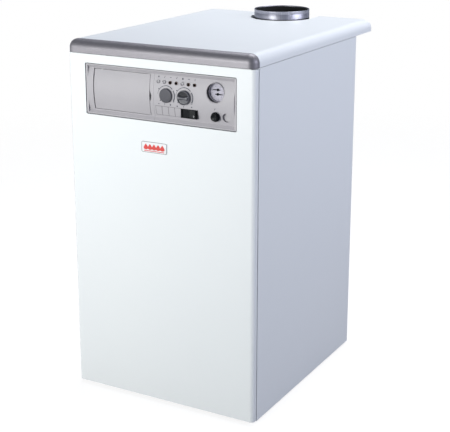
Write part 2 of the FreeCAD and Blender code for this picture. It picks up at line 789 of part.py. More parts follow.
def make_support_rails():
    """Two folded rails that carry the cast block above the base tray."""
    low, high = foot_height + sheet_wall + 0.3, core_low
    rails = Piece("support_rails")
    for side in (-1, 1):
        ends = sorted((side * 119, side * 163))
        x = (core_x + ends[0], core_x + ends[1])
        rails.block(x, (core_front, core_rear), (low, high))
        rails.block((x[0] + 2, x[1] - 2), (core_front, core_rear), (low + 2, high - 2), True)


def make_smoke_hood():
    """The collector over the flueways, open at the bottom and at its rear outlet."""
    wall = 1.5
    x0, x1 = core_x - chamber_half - 8, core_x + chamber_half + 8
    y0, y1 = core_front + 10, hood_rear
    hood = Piece("smoke_hood")
    hood.block((x0, x1), (y0, y1), (core_high, hood_high))
    hood.block((x0 + wall, x1 - wall), (y0 + wall, y1 - wall), (core_high, hood_high - wall), True)
    hood.block((core_x - 100, core_x + 100), (y1 - wall, y1), (640, hood_high - 8), True)
    hood.block((core_x - 90, core_x + 90), (y0, y0 + wall), (640, hood_high - 12), True)
    cover = Piece("cleaning_cover")
    cover.block((core_x - 104, core_x + 104), (y0 - 3, y0), (634, hood_high - 2))
    for side in (-1, 1):
        cover.rod("y", (core_x + 97 * side, 660), 6, y0 - 10, y0 - 3)


def make_diverter():
    """The draught diverter: a box behind the hood, open below for relief air."""
    wall = sheet_wall
    x0, x1 = core_x - box_half, core_x + box_half
    y0, y1 = hood_rear, box_rear
    box = Piece("draught_diverter")
    box.block((x0, x1), (y0, y1), (box_low, box_high))
    box.block((x0 + wall, x1 - wall), (y0 + wall, y1 - wall), (box_low, box_high - wall), True)
    box.block((core_x - 100, core_x + 100), (y0, y0 + wall), (640, hood_high - 8), True)
    box.block((x0, x1), (y0, core_rear + 30), (box_low, core_high + 2), True)
    box.rod("z", (core_x, collar_y), collar_radius - 1.2, box_high - wall, box_high, True)
    baffle_y = collar_y - 60
    box.block((x0 + wall, x1 - wall), (baffle_y, baffle_y + wall), (640, 700))


def make_collar():
    """The flue spigot that stands up through the lid's slot."""
    inner = collar_radius - 1.2
    collar = Piece("flue_collar", core_x, collar_y, 0)
    collar.turned("z", [(inner, box_high), (collar_radius + 10, box_high),
                        (collar_radius + 10, box_high + 1.5), (collar_radius, box_high + 1.5),
                        (collar_radius, collar_high), (inner, collar_high)])


# ---------------------------------------------------------------- burner assembly
def make_burner():
    plate_y = core_front - 5
    x0, x1 = core_x - 130, core_x + 130
    low, high = core_low + 8, chamber_high + 18
    gasket = Piece("burner_gasket")
    gasket.block((x0, x1), (plate_y + 2, core_front), (low, high))
    gasket.block((core_x - chamber_half, core_x + chamber_half), (plate_y + 2, core_front),
                 (low + 10, chamber_high), True)
    plate = Piece("burner_plate")
    plate.block((x0, x1), (plate_y, plate_y + 2), (low, high))
    plate.rod("y", (core_x + 60, 280), 12, plate_y, plate_y + 2, True)
    plate.rod("y", (core_x, 240), 5, plate_y, plate_y + 2, True)
    glass = Piece("sight_glass")
    glass.rod("y", (core_x + 60, 280), 12, plate_y, plate_y + 2)
    tubes = Piece("burner_tubes")
    injectors = Piece("injectors")
    for number in range(4):
        x = core_x + tube_pitch * (number - 1.5)
        plate.rod("y", (x, tube_z), tube_radius + 0.5, plate_y, plate_y + 2, True)
        tubes.rod("y", (x, tube_z), tube_radius, plate_y - 12, core_rear - 26)
        tubes.rod("y", (x, tube_z), tube_radius - 1.5, plate_y - 12, core_rear - 28, True)
        for step in range(14):
            y = core_front + 24 + step * 18
            tubes.block((x - 6, x + 6), (y, y + 4), (tube_z + 8, tube_z + 25), True)
        injectors.rod("y", (x, tube_z), 5, manifold_y + manifold_radius, plate_y - 20)
    make_gas_line(plate_y)


def make_gas_line(plate_y):
    """Manifold, gas valve, supply pipe and pilot burner."""
    valve_right = gas_x + 34
    manifold = Piece("gas_manifold")
    end = core_x + tube_pitch * 1.5 + 22
    manifold.rod("x", (manifold_y, tube_z), manifold_radius, valve_right, end)
    for number in range(4):
        x = core_x + tube_pitch * (number - 1.5)
        manifold.rod("y", (x, tube_z), 8, manifold_y, manifold_y + manifold_radius)
    valve = Piece("gas_valve")
    valve.block((gas_x - 34, valve_right), (manifold_y - 34, manifold_y + 34),
                (tube_z - 38, tube_z + 30))
    valve.block((gas_x - 26, gas_x + 26), (manifold_y - 20, manifold_y + 24),
                (tube_z + 30, tube_z + 52))
    valve.rod("y", (gas_x - 8, tube_z), 15, manifold_y - 42, manifold_y - 34)
    valve.round_edges(3, lambda edge: runs_along(edge, Z_AXIS)
                      and edge.BoundBox.ZLength > 60)
    bend = 30
    pipe = Piece("gas_pipe")
    path = pipe.sketch("x", gas_x)
    top = FreeCAD.Vector(manifold_y.value, tube_z.value - 38, 0)
    turn = FreeCAD.Vector(manifold_y.value, gas_z.value + bend, 0)
    along = FreeCAD.Vector(manifold_y.value + bend, gas_z.value, 0)
    rear = FreeCAD.Vector(stub_end.value, gas_z.value, 0)
    middle = bend * (1 - math.sqrt(0.5))
    knee = FreeCAD.Vector(manifold_y.value + middle, gas_z.value + middle, 0)
    path.addGeometry(Part.LineSegment(top, turn), False)
    path.addGeometry(Part.Arc(turn, knee, along), False)
    path.addGeometry(Part.LineSegment(along, rear), False)
    places = ((0, 1, (manifold_y, tube_z - 38)), (0, 2, (manifold_y, gas_z + bend)),
              (2, 1, (manifold_y + bend, gas_z)), (2, 2, (stub_end, gas_z)))
    path.addConstraint(Sketcher.Constraint("Tangent", 0, 2, 1, 1))
    path.addConstraint(Sketcher.Constraint("Coincident", 1, 2, 2, 1))
    for edge, end_number, place in places:
        pipe.pin(path, edge, end_number, [size(value) for value in place])
    ring = pipe.sketch("z", tube_z - 38)
    pipe.circle(ring, (gas_x, manifold_y), gas_radius)
    pipe.circle(ring, (gas_x, manifold_y), gas_radius - 2.4)
    sweep = pipe.body.newObject("PartDesign::AdditivePipe", "gas_pipe_sweep")
    sweep.Profile = ring
    sweep.Spine = (path, ["Edge1", "Edge2", "Edge3"])
    shoulder = stub_end - free_end
    pipe.rod("y", (gas_x, gas_z), gas_radius + 3.5, shoulder - 14, shoulder, False, gas_radius - 1)
    pilot = Piece("pilot_burner", core_x, 0, 240)
    pilot.turned("y", [(0, plate_y - 10), (4, plate_y - 10), (4, core_front + 36),
                       (7, core_front + 36), (7, core_front + 50), (0, core_front + 50)])


make_feet()
make_base_tray()
make_side_panel("left_side_panel", -1)
make_side_panel("right_side_panel", 1)
make_rear_panel()
make_front_panel()
make_lid()
make_trim()
make_badge()
make_catches()
make_cross_rail()
make_left_fascia()
make_right_fascia()
make_door()
make_hinge_pin()
make_control_tray()
make_knob("selector_knob", selector_x, selector_front)
make_grip_knob("thermostat_knob", thermostat_x)
make_spindle("selector_spindle", selector_x, selector_front + 2)
make_spindle("thermostat_spindle", thermostat_x, knob_front + 5)
make_switch_body("selector_switch", selector_x)
make_switch_body("control_thermostat", thermostat_x)
make_lamps("clear_lamps", (0, 1, 4))
make_lamps("dark_lamps", (2, 3, 5, 6))
make_blanks()
make_rocker_switch()
make_gauge()
make_safety_thermostat()
make_test_button()
make_electrics()
make_heat_exchanger()
make_water_stubs()
make_insulation()
make_support_rails()
make_smoke_hood()
make_diverter()
make_collar()
make_burner()
doc.recompute()

# ---------------------------------------------------------------- checks and files
failed = [item.Name for item in doc.Objects
          if "Invalid" in item.State or "Error" in item.State]
if failed:
    raise RuntimeError("features that did not rebuild: " + ", ".join(failed))
for item in doc.Objects:
    if item.TypeId == "PartDesign::Pocket":
        if item.Shape.Volume > item.BaseFeature.Shape.Volume - 1e-6:
            raise RuntimeError(item.Name + " cuts nothing")
for piece in pieces:
    if piece.Shape.isNull() or not piece.Shape.isValid() or not piece.Shape.Solids:
        raise RuntimeError(piece.Label + " has no valid solid")

os.makedirs("parts", exist_ok=True)
for piece in pieces:
    piece.Shape.exportStep(os.path.join("parts", piece.Label + ".step"))
print("%d sub-parts written" % len(pieces))
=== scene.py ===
import math

import bmesh
import bpy
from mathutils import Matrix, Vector
from mathutils.bvhtree import BVHTree


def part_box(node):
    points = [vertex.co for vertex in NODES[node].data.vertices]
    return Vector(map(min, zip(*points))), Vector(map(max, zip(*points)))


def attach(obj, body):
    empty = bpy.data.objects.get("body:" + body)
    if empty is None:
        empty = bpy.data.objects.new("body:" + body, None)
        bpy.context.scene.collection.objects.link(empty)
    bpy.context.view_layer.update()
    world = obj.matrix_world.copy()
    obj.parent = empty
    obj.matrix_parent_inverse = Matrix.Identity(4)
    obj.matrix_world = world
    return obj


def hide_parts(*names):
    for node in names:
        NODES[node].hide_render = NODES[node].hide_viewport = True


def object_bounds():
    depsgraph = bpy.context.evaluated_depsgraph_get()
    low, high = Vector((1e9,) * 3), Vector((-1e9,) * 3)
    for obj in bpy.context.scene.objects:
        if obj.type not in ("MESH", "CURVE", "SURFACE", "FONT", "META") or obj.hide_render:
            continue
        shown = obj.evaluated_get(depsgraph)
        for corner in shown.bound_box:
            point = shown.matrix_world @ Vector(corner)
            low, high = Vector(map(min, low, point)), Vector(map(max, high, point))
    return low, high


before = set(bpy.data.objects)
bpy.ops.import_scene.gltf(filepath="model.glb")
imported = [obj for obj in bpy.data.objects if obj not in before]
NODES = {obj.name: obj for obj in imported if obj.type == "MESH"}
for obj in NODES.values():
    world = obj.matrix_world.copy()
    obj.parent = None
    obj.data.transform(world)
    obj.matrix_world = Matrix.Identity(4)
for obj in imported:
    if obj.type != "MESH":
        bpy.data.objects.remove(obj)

CAD_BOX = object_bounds()
MM = 0.001


# -------------------- node graphs
class Graph:
    """One material's node tree, with short calls that add and link its nodes."""

    def __init__(self, name):
        self.material = bpy.data.materials.new(name)
        self.material.use_nodes = True
        self.tree = self.material.node_tree
        self.shader = self.tree.nodes["Principled BSDF"]
        self.output = self.tree.nodes["Material Output"]
        self.place = self.add("ShaderNodeTexCoord").outputs["Object"]

    def add(self, kind, inputs=None, **settings):
        node = self.tree.nodes.new(kind)
        for key, value in settings.items():
            setattr(node, key, value)
        for key, value in (inputs or {}).items():
            self.feed(node.inputs[key], value)
        return node

    def feed(self, socket, value):
        if isinstance(value, bpy.types.NodeSocket):
            self.tree.links.new(value, socket)
        else:
            socket.default_value = value

    def stretched(self, scale):
        mapping = self.add("ShaderNodeMapping", {"Vector": self.place, "Scale": scale})
        return mapping.outputs["Vector"]

    def noise(self, place, scale, detail=4.0):
        inputs = {"Vector": place, "Scale": scale, "Detail": detail}
        return self.add("ShaderNodeTexNoise", inputs).outputs["Fac"]

    def cells(self, place, scale):
        inputs = {"Vector": place, "Scale": scale}
        return self.add("ShaderNodeTexVoronoi", inputs).outputs["Color"]

    def spread(self, value, low, high, new_low, new_high):
        inputs = {"Value": value, "From Min": low, "From Max": high,
                  "To Min": new_low, "To Max": new_high}
        return self.add("ShaderNodeMapRange", inputs).outputs["Result"]

    def maths(self, operation, first, second):
        return self.add("ShaderNodeMath", {0: first, 1: second}, operation=operation).outputs[0]

    def mixed(self, factor, one, other):
        node = self.add("ShaderNodeMix", data_type="RGBA")
        self.feed(node.inputs[0], factor)
        self.feed(node.inputs[6], rgba(one))
        self.feed(node.inputs[7], rgba(other))
        return node.outputs[2]

    def edges(self, radius):
        """A mask that is 1 on edges sharper than the radius, and 0 on flat faces."""
        flat_dot, edge_dot = 0.995, 0.90
        rounded = self.add("ShaderNodeBevel", {"Radius": radius}, samples=4).outputs[0]
        true = self.add("ShaderNodeNewGeometry").outputs["Normal"]
        dot = self.add("ShaderNodeVectorMath", {0: rounded, 1: true}, operation="DOT_PRODUCT")
        return self.spread(dot.outputs["Value"], flat_dot, edge_dot, 0.0, 1.0)

    def bump(self, height, depth, under=None):
        inputs = {"Height": height, "Distance": depth, "Strength": 1.0}
        node = self.add("ShaderNodeBump", inputs)
        if under is not None:
            self.feed(node.inputs["Normal"], under)
        return node.outputs["Normal"]


def rgba(colour):
    """A colour with its alpha. A socket or a full colour passes through."""
    if isinstance(colour, tuple) and len(colour) == 3:
        return (*colour, 1.0)
    return colour


# -------------------- finishes
def surface(name, colour, shade, roughness, metallic=0.0, patch=4.0, speckle=0.3,
            stretch=(1, 1, 1), relief=(), wear=None, coat=0.0, coat_roughness=0.1, cells=0,
            specular=0.5):
    """A solid finish. The colour drifts to its shade, the roughness varies between two
    values, relief layers of (scale, depth) roughen it, and wear shows on the edges."""
    speckle_per_patch, drift_low, drift_high = 45, 0.32, 0.68
    wear_scale, wear_low, wear_high, worn_roughness = 60.0, 0.45, 0.65, 0.12
    graph = Graph(name)
    place = graph.stretched(stretch)
    broad = graph.noise(place, patch, 3.0)
    fine = graph.noise(place, patch * speckle_per_patch, 5.0)
    drift = graph.maths("ADD", graph.maths("MULTIPLY", broad, 1 - speckle),
                        graph.maths("MULTIPLY", fine, speckle))
    drift = graph.spread(drift, drift_low, drift_high, 0.0, 1.0)
    if cells:
        tone = graph.cells(place, cells)
        drift = graph.maths("MULTIPLY", graph.maths("ADD", drift, tone), 0.5)
    base = graph.mixed(drift, colour, shade)
    rough = graph.spread(drift, 0.0, 1.0, *roughness)
    if wear is not None:
        worn_colour, radius, amount = wear
        patchy = graph.noise(place, wear_scale)
        patchy = graph.spread(patchy, wear_low, wear_high, 0.0, amount)
        mask = graph.maths("MULTIPLY", graph.edges(radius), patchy)
        base = graph.mixed(mask, base, worn_colour)
        rough = graph.maths("ADD", rough, graph.maths("MULTIPLY", mask, worn_roughness))
    graph.feed(graph.shader.inputs["Base Color"], base)
    graph.feed(graph.shader.inputs["Roughness"], rough)
    graph.shader.inputs["Metallic"].default_value = metallic
    graph.shader.inputs["Coat Weight"].default_value = coat
    graph.shader.inputs["Coat Roughness"].default_value = coat_roughness
    graph.shader.inputs["Specular IOR Level"].default_value = specular
    normal = None
    for scale, depth in relief:
        normal = graph.bump(graph.noise(place, scale, 3.0), depth, normal)
    if normal is not None:
        graph.feed(graph.shader.inputs["Normal"], normal)
    return graph


def enamel(name, colour, shade):
    """Sprayed and baked paint: a faint orange-peel skin under a clear gloss."""
    orange_peel = ((420.0, 0.00005), (30.0, 0.00012))
    bare_edge = ((0.62, 0.63, 0.65), 0.0006, 0.35)
    return surface(name, colour, shade, (0.38, 0.46), patch=1.6, speckle=0.15,
                   relief=orange_peel, coat=0.12, coat_roughness=0.22, wear=bare_edge)


def moulded(name, colour, shade, roughness, wear, specular=0.5):
    """Injection-moulded plastic with a spark-eroded grain and rubbed edges."""
    grain = ((2600.0, 0.00004), (90.0, 0.00006))
    return surface(name, colour, shade, roughness, patch=9.0, speckle=0.45, relief=grain,
                   wear=(wear, 0.0005, 0.5), specular=specular)


def drawn_metal(name, colour, shade, roughness, stretch, wear, patch=14.0):
    """Bare metal with fine scratches along one direction."""
    return surface(name, colour, shade, roughness, metallic=1.0, patch=patch, speckle=0.6,
                   stretch=stretch, relief=((260.0, 0.00002),), wear=(wear, 0.0007, 0.6))


def spangled(name):
    """Hot-dip galvanised sheet: crystals of slightly different grey."""
    return surface(name, (0.46, 0.49, 0.52), (0.66, 0.68, 0.70), (0.30, 0.52), metallic=1.0,
                   patch=7.0, speckle=0.5, relief=((350.0, 0.00002),), cells=85.0,
                   wear=((0.78, 0.79, 0.80), 0.0008, 0.5))


def cast(name):
    """Sand-cast iron: grainy, almost black, with rust showing on the corners."""
    return surface(name, (0.050, 0.050, 0.054), (0.115, 0.100, 0.090), (0.62, 0.82),
                   metallic=0.35, patch=11.0, speckle=0.55,
                   relief=((230.0, 0.0006), (900.0, 0.00025)),
                   wear=((0.20, 0.095, 0.05), 0.002, 0.8))


def fleece(name):
    """Mineral wool under a thin foil-like skin, with its fibres and dents."""
    graph = surface(name, (0.56, 0.53, 0.44), (0.72, 0.70, 0.62), (0.80, 0.95), patch=18.0,
                    speckle=0.6, relief=((60.0, 0.003), (420.0, 0.0012), (1500.0, 0.0004)))
    graph.shader.inputs["Sheen Weight"].default_value = 0.3
    graph.shader.inputs["Sheen Roughness"].default_value = 0.5
    return graph


def lens(name, colour, shade, transmission, roughness, coat=0.4, specular=0.5):
    """Coloured clear plastic, a little uneven inside."""
    graph = surface(name, colour, shade, roughness, patch=160.0, speckle=0.3,
                    relief=((700.0, 0.00003),), coat=coat, coat_roughness=0.05,
                    specular=specular)
    graph.shader.inputs["Transmission Weight"].default_value = transmission
    graph.shader.inputs["IOR"].default_value = 1.49
    return graph


def window_glass(name):
    """A thin clear pane: it lets light through, and reflects more at a slant."""
    graph = Graph(name)
    smear = graph.spread(graph.noise(graph.place, 45.0, 4.0), 0.3, 0.7, 0.02, 0.07)
    clear = graph.add("ShaderNodeBsdfTransparent", {"Color": (0.955, 0.95, 0.965, 1.0)})
    glossy = graph.add("ShaderNodeBsdfGlossy", {"Roughness": smear})
    fresnel = graph.add("ShaderNodeFresnel", {"IOR": 1.22})
    mixed = graph.add("ShaderNodeMixShader", {
        0: fresnel.outputs[0], 1: clear.outputs[0], 2: glossy.outputs[0]})
    graph.feed(graph.output.inputs["Surface"], mixed.outputs[0])
    return graph


def make_finishes():
    """One material for each of the record's slots."""
    grey_rub = (0.66, 0.66, 0.68)
    black_rub = (0.10, 0.10, 0.105)
    bright = (0.85, 0.85, 0.86)
    made = {
        "white_enamel": enamel("White enamel", (0.800, 0.822, 0.832), (0.775, 0.800, 0.815)),
        "trim_grey": surface("Trim metallic grey", (0.208, 0.199, 0.217), (0.240, 0.231, 0.250),
                             (0.46, 0.56), metallic=0.75, patch=3.0, speckle=0.6,
                             relief=((1800.0, 0.00003),),
                             wear=((0.55, 0.55, 0.57), 0.0006, 0.4)),
        "fascia_grey": moulded("Fascia grey", (0.408, 0.390, 0.412), (0.440, 0.421, 0.443),
                               (0.42, 0.52), grey_rub),
        "knob_grey": moulded("Knob grey", (0.088, 0.087, 0.100), (0.110, 0.109, 0.123),
                             (0.36, 0.46), (0.30, 0.30, 0.32), specular=0.14),
        "knob_gloss": moulded("Knob gloss", (0.088, 0.087, 0.100), (0.110, 0.109, 0.123),
                              (0.20, 0.28), (0.34, 0.34, 0.36), specular=0.6),
        "black_plastic": moulded("Black plastic", (0.006, 0.007, 0.008), (0.012, 0.013, 0.015),
                                 (0.22, 0.32), (0.03, 0.03, 0.033), specular=0.08),
        # A darker copy of the knob grey: painted shade for the thermostat knob's upper scoop.
        "knob_shade": moulded("Knob scoop painted shade", (0.030, 0.030, 0.035), (0.045, 0.045, 0.051),
                              (0.35, 0.48), (0.20, 0.20, 0.21), specular=0.1),
        "button_grey": moulded("Button grey", (0.40, 0.385, 0.405), (0.44, 0.425, 0.445),
                               (0.35, 0.48), grey_rub),
        "lamp_clear": lens("Clear lamp lens", (0.50, 0.48, 0.51), (0.44, 0.43, 0.46), 0.1,
                           (0.25, 0.35)),
        "lamp_amber": lens("Amber lamp rim", (0.26, 0.105, 0.045), (0.16, 0.06, 0.025), 0.1,
                           (0.25, 0.35)),
        "lamp_dark": lens("Dark lamp lens", (0.006, 0.004, 0.004), (0.003, 0.002, 0.002), 0.0,
                          (0.20, 0.30), coat=0.0, specular=0.08),
        "gauge_face": moulded("Gauge face", (0.58, 0.57, 0.62), (0.64, 0.63, 0.68),
                              (0.45, 0.55), grey_rub),
        "gauge_glass": window_glass("Gauge glass"),
        "badge": enamel("Badge white", (0.80, 0.81, 0.82), (0.76, 0.77, 0.79)),
        "galvanised": spangled("Galvanised sheet"),
        # The collar's wide dark and pale streaks along its height are painted reflections.
        "collar_metal": drawn_metal("Collar metal painted reflections", (0.22, 0.22, 0.27), (0.52, 0.52, 0.58),
                                    (0.36, 0.46), (1.0, 1.0, 0.04), bright, patch=22.0),
        "steel": drawn_metal("Bright steel", (0.52, 0.52, 0.53), (0.66, 0.66, 0.67),
                             (0.28, 0.42), (1.0, 8.0, 1.0), bright),
        "cast_iron": cast("Cast iron"),
        "stainless": drawn_metal("Stainless steel", (0.60, 0.58, 0.55), (0.72, 0.69, 0.64),
                                 (0.22, 0.38), (10.0, 1.0, 10.0), bright),
        "brass": drawn_metal("Brass", (0.62, 0.42, 0.16), (0.76, 0.56, 0.25), (0.22, 0.40),
                             (1.0, 1.0, 6.0), (0.88, 0.72, 0.40)),
        "valve_alloy": surface("Valve alloy", (0.42, 0.42, 0.43), (0.52, 0.52, 0.53),
                               (0.45, 0.62), metallic=0.9, patch=20.0, speckle=0.5,
                               relief=((700.0, 0.0001),), wear=(bright, 0.001, 0.6)),
        "gas_paint": surface("Gas pipe yellow", (0.62, 0.42, 0.03), (0.52, 0.34, 0.03),
                             (0.35, 0.50), patch=8.0, speckle=0.3, relief=((400.0, 0.00008),),
                             wear=((0.30, 0.30, 0.30), 0.001, 0.6), coat=0.3),
        "wool": fleece("Mineral wool"),
        "gasket": surface("Gasket fibre", (0.36, 0.35, 0.32), (0.50, 0.48, 0.44), (0.8, 0.95),
                          patch=60.0, speckle=0.7, relief=((1600.0, 0.0002),)),
        "sight": lens("Sight glass", (0.30, 0.22, 0.12), (0.36, 0.27, 0.16), 0.6, (0.05, 0.12)),
        "board": surface("Circuit board", (0.025, 0.135, 0.060), (0.040, 0.180, 0.085),
                         (0.30, 0.45), patch=30.0, speckle=0.5, relief=((900.0, 0.00005),),
                         wear=((0.45, 0.38, 0.22), 0.0008, 0.8), coat=0.3),
        "rubber": surface("Foot rubber", (0.018, 0.018, 0.019), (0.045, 0.044, 0.042),
                          (0.65, 0.85), patch=25.0, speckle=0.6, relief=((800.0, 0.0002),)),
        "nickel": drawn_metal("Nickel plate", (0.60, 0.58, 0.54), (0.74, 0.72, 0.68),
                              (0.15, 0.28), (1.0, 6.0, 1.0), bright),
        "print_grey": surface("Printed symbols", (0.020, 0.022, 0.045), (0.038, 0.041, 0.070),
                              (0.4, 0.5), patch=300.0, speckle=0.5, relief=((2500.0, 0.00002),)),
        # Also the painted shade on the flue collar's foot and on the liner inside it.
        "soot": surface("Soot and painted shade", (0.010, 0.010, 0.011), (0.030, 0.029, 0.028), (0.75, 0.95),
                        patch=40.0, speckle=0.6, relief=((500.0, 0.0004),)),
        "red_enamel": enamel("Badge red", (0.70, 0.035, 0.025), (0.60, 0.025, 0.020)),
        # Black for the gauge well and the dark lamp tubes; also the painted shade laid in the
        # blanking plates' joints.
        "well_black": moulded("Black well and painted gap shade", (0.020, 0.020, 0.023), (0.035, 0.035, 0.040),
                              (0.35, 0.50), black_rub),
        "white_print": surface("White print", (0.70, 0.71, 0.72), (0.62, 0.63, 0.65), (0.4, 0.5),
                               patch=300.0, speckle=0.4, relief=((2500.0, 0.00002),)),
    }
    return {slot: graph.material for slot, graph in made.items()}


FINISH = make_finishes()


def finish_nodes():
    """Give every carried-over node the finish of its slot in the record."""
    for node in NODES.values():
        for number, material in enumerate(node.data.materials):
            if material is not None and material.name in FINISH:
                node.data.materials[number] = FINISH[material.name]


# -------------------- mesh helpers
def new_piece(name, points, faces, body, slot, finishes=None, face_finish=None,
              sharp=35.0, stands_for=()):
    """A mesh piece that rides on a body. face_finish gives each face its finish number."""
    mesh = bpy.data.meshes.new(name)
    mesh.from_pydata([tuple(point) for point in points], [], faces)
    for finish in finishes or [slot]:
        mesh.materials.append(FINISH[finish])
    if face_finish is not None:
        mesh.polygons.foreach_set("material_index", face_finish)
    shape = bmesh.new()
    shape.from_mesh(mesh)
    bmesh.ops.recalc_face_normals(shape, faces=shape.faces)
    shape.to_mesh(mesh)
    shape.free()
    mesh.polygons.foreach_set("use_smooth", [True] * len(mesh.polygons))
    mesh.set_sharp_from_angle(angle=math.radians(sharp))
    piece = bpy.data.objects.new(name, mesh)
    bpy.context.scene.collection.objects.link(piece)
    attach(piece, body)
    if stands_for:
        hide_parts(*stands_for)
    return piece


class Build:
    """Points and faces gathered from several shapes into one mesh."""

    def __init__(self):
        self.points = []
        self.faces = []
        self.marks = []

    def add(self, points, faces):
        first = len(self.points)
        self.points += [Vector(point) for point in points]
        self.faces += [tuple(first + number for number in face) for face in faces]
        self.marks += [0] * len(faces)

    def lathe(self, centre, profile, marks=None, segments=64, flute=None):
        """Turn a profile of (radius, along) about the Y axis through the centre. A flute of
        (count, depth, from, to) presses grooves into that stretch of the profile."""
        rings = []
        for number, (radius, along) in enumerate(profile):
            ring = []
            for step in range(segments):
                angle = math.tau * step / segments
                reach = radius
                if flute and flute[2] <= number <= flute[3]:
                    reach -= flute[1] * (0.5 + 0.5 * math.cos(angle * flute[0])) ** 2
                ring.append(centre + Vector((reach * math.cos(angle), along,
                                             reach * math.sin(angle))))
            rings.append(ring)
        self.skin(rings, marks)

    def skin(self, rings, marks=None, closed=False):
        """Quads between neighbouring rings, with a fan where a ring has no size. Marks give
        each stretch between two rings its finish number."""
        no_size = 1e-7
        first = len(self.points)
        starts = []
        for ring in rings:
            flat = all((point - ring[0]).length < no_size for point in ring)
            starts.append((len(self.points) - first, flat))
            self.points += [ring[0]] if flat else ring
        size = len(rings[0])
        pairs = len(rings) if closed else len(rings) - 1
        for number in range(pairs):
            (low, low_flat), (high, high_flat) = starts[number], starts[(number + 1) % len(rings)]
            for step in range(size):
                after = (step + 1) % size
                corners = [low if low_flat else low + step,
                           low if low_flat else low + after,
                           high if high_flat else high + after,
                           high if high_flat else high + step]
                face = list(dict.fromkeys(corners))
                if len(face) > 2:
                    self.faces.append(tuple(first + corner for corner in face))
                    self.marks.append(marks[number] if marks else 0)

    def capped(self, rings):
        """A skin with a face over its first ring and one over its last."""
        first = len(self.points)
        self.skin(rings)
        size = len(rings[0])
        last = first + size * (len(rings) - 1)
        self.faces += [tuple(range(first, first + size)),
                       tuple(range(last + size - 1, last - 1, -1))]
        self.marks += [0, 0]

    def piece(self, name, body, slot, finishes=None, sharp=35.0, stands_for=()):
        return new_piece(name, self.points, self.faces, body, slot, finishes, self.marks,
                         sharp, stands_for)


def middle(node):
    low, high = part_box(node)
    return (low + high) / 2


def surface_finder(*nodes):
    """A function that gives the Y of the nodes' front surface at a place (x, z)."""
    points, faces = [], []
    for node in nodes:
        first = len(points)
        mesh = NODES[node].data
        points += [vertex.co.copy() for vertex in mesh.vertices]
        faces += [tuple(first + corner for corner in face.vertices) for face in mesh.polygons]
    tree = BVHTree.FromPolygons(points, faces)
    ray_start = CAD_BOX[0].y - 50 * MM

    def front_at(x, z):
        hit = tree.ray_cast(Vector((x, ray_start, z)), Vector((0, 1, 0)))[0]
        return hit.y

    return front_at


# -------------------- printed marks
def teardrop():
    """A flame or drop outline one unit high, with its point up."""
    points = 20
    outline = []
    for number in range(points):
        angle = math.tau * number / points
        outline.append((0.62 * math.sin(angle) * math.sin(angle / 2) ** 1.6,
                        0.5 * math.cos(angle)))
    return outline


def round_outline(radius):
    points = 18
    return [(radius * math.cos(math.tau * number / points),
             radius * math.sin(math.tau * number / points)) for number in range(points)]


SHAPES = {
    "flame": teardrop(),
    "dot": round_outline(0.36),
    "bar": [(-0.13, -0.5), (0.13, -0.5), (0.13, 0.5), (-0.13, 0.5)],
    "dash": [(-0.5, -0.13), (0.5, -0.13), (0.5, 0.13), (-0.5, 0.13)],
    "peak": [(-0.42, -0.4), (0.42, -0.4), (0.0, 0.45)],
    "slant": [(-0.38, -0.5), (-0.1, -0.5), (0.38, 0.5), (0.1, 0.5)],
    "cross": [(-0.13, -0.5), (0.13, -0.5), (0.13, -0.13), (0.5, -0.13), (0.5, 0.13),
              (0.13, 0.13), (0.13, 0.5), (-0.13, 0.5), (-0.13, 0.13), (-0.5, 0.13),
              (-0.5, -0.13), (-0.13, -0.13)],
    "gable": [(-0.45, -0.45), (0.45, -0.45), (0.45, 0.05), (0.0, 0.5), (-0.45, 0.05)],
}


def stamp(build, outline, centre, scale, front_at, lift=0.15 * MM, sink=0.4 * MM):
    """Raise a flat outline a little above the surface it is printed on."""
    spots = [(centre[0] + u * scale, centre[1] + v * scale) for u, v in outline]
    count = len(spots)
    top = [(x, front_at(x, z) - lift, z) for x, z in spots]
    low = [(x, front_at(x, z) + sink, z) for x, z in spots]
    faces = [tuple(range(count)), tuple(range(2 * count - 1, count - 1, -1))]
    faces += [(n, (n + 1) % count, count + (n + 1) % count, count + n) for n in range(count)]
    build.add(top + low, faces)


def arc_band(build, centre, radius, width, start, stop, front_at, lift=0.15 * MM,
             sink=0.4 * MM, steps=40, last_width=None):
    """A printed arc between two angles in degrees, measured from +X towards +Z. With a last
    width, it grows or shrinks to that width."""
    rings = []
    for step in range(steps + 1):
        angle = math.radians(start + (stop - start) * step / steps)
        wide = width if last_width is None else width + (last_width - width) * step / steps
        ends = []
        for reach in (radius - wide / 2, radius + wide / 2):
            ends.append((centre[0] + reach * math.cos(angle), centre[1] + reach * math.sin(angle)))
        (x0, z0), (x1, z1) = ends
        rings.append([Vector((x0, front_at(x0, z0) - lift, z0)),
                      Vector((x1, front_at(x1, z1) - lift, z1)),
                      Vector((x1, front_at(x1, z1) + sink, z1)),
                      Vector((x0, front_at(x0, z0) + sink, z0))])
    build.capped(rings)


def line_band(build, start, stop, width, front_at):
    """A straight strip between two places (x, z), laid on the surface."""
    lift, sink, steps = 0.1 * MM, 0.4 * MM, 12
    along = (Vector(stop) - Vector(start)).normalized()
    side = Vector((-along.y, along.x)) * width / 2
    rings = []
    for step in range(steps + 1):
        spot = Vector(start).lerp(Vector(stop), step / steps)
        one, other = spot - side, spot + side
        rings.append([Vector((one.x, front_at(*one) - lift, one.y)),
                      Vector((other.x, front_at(*other) - lift, other.y)),
                      Vector((other.x, front_at(*other) + sink, other.y)),
                      Vector((one.x, front_at(*one) + sink, one.y))])
    build.capped(rings)


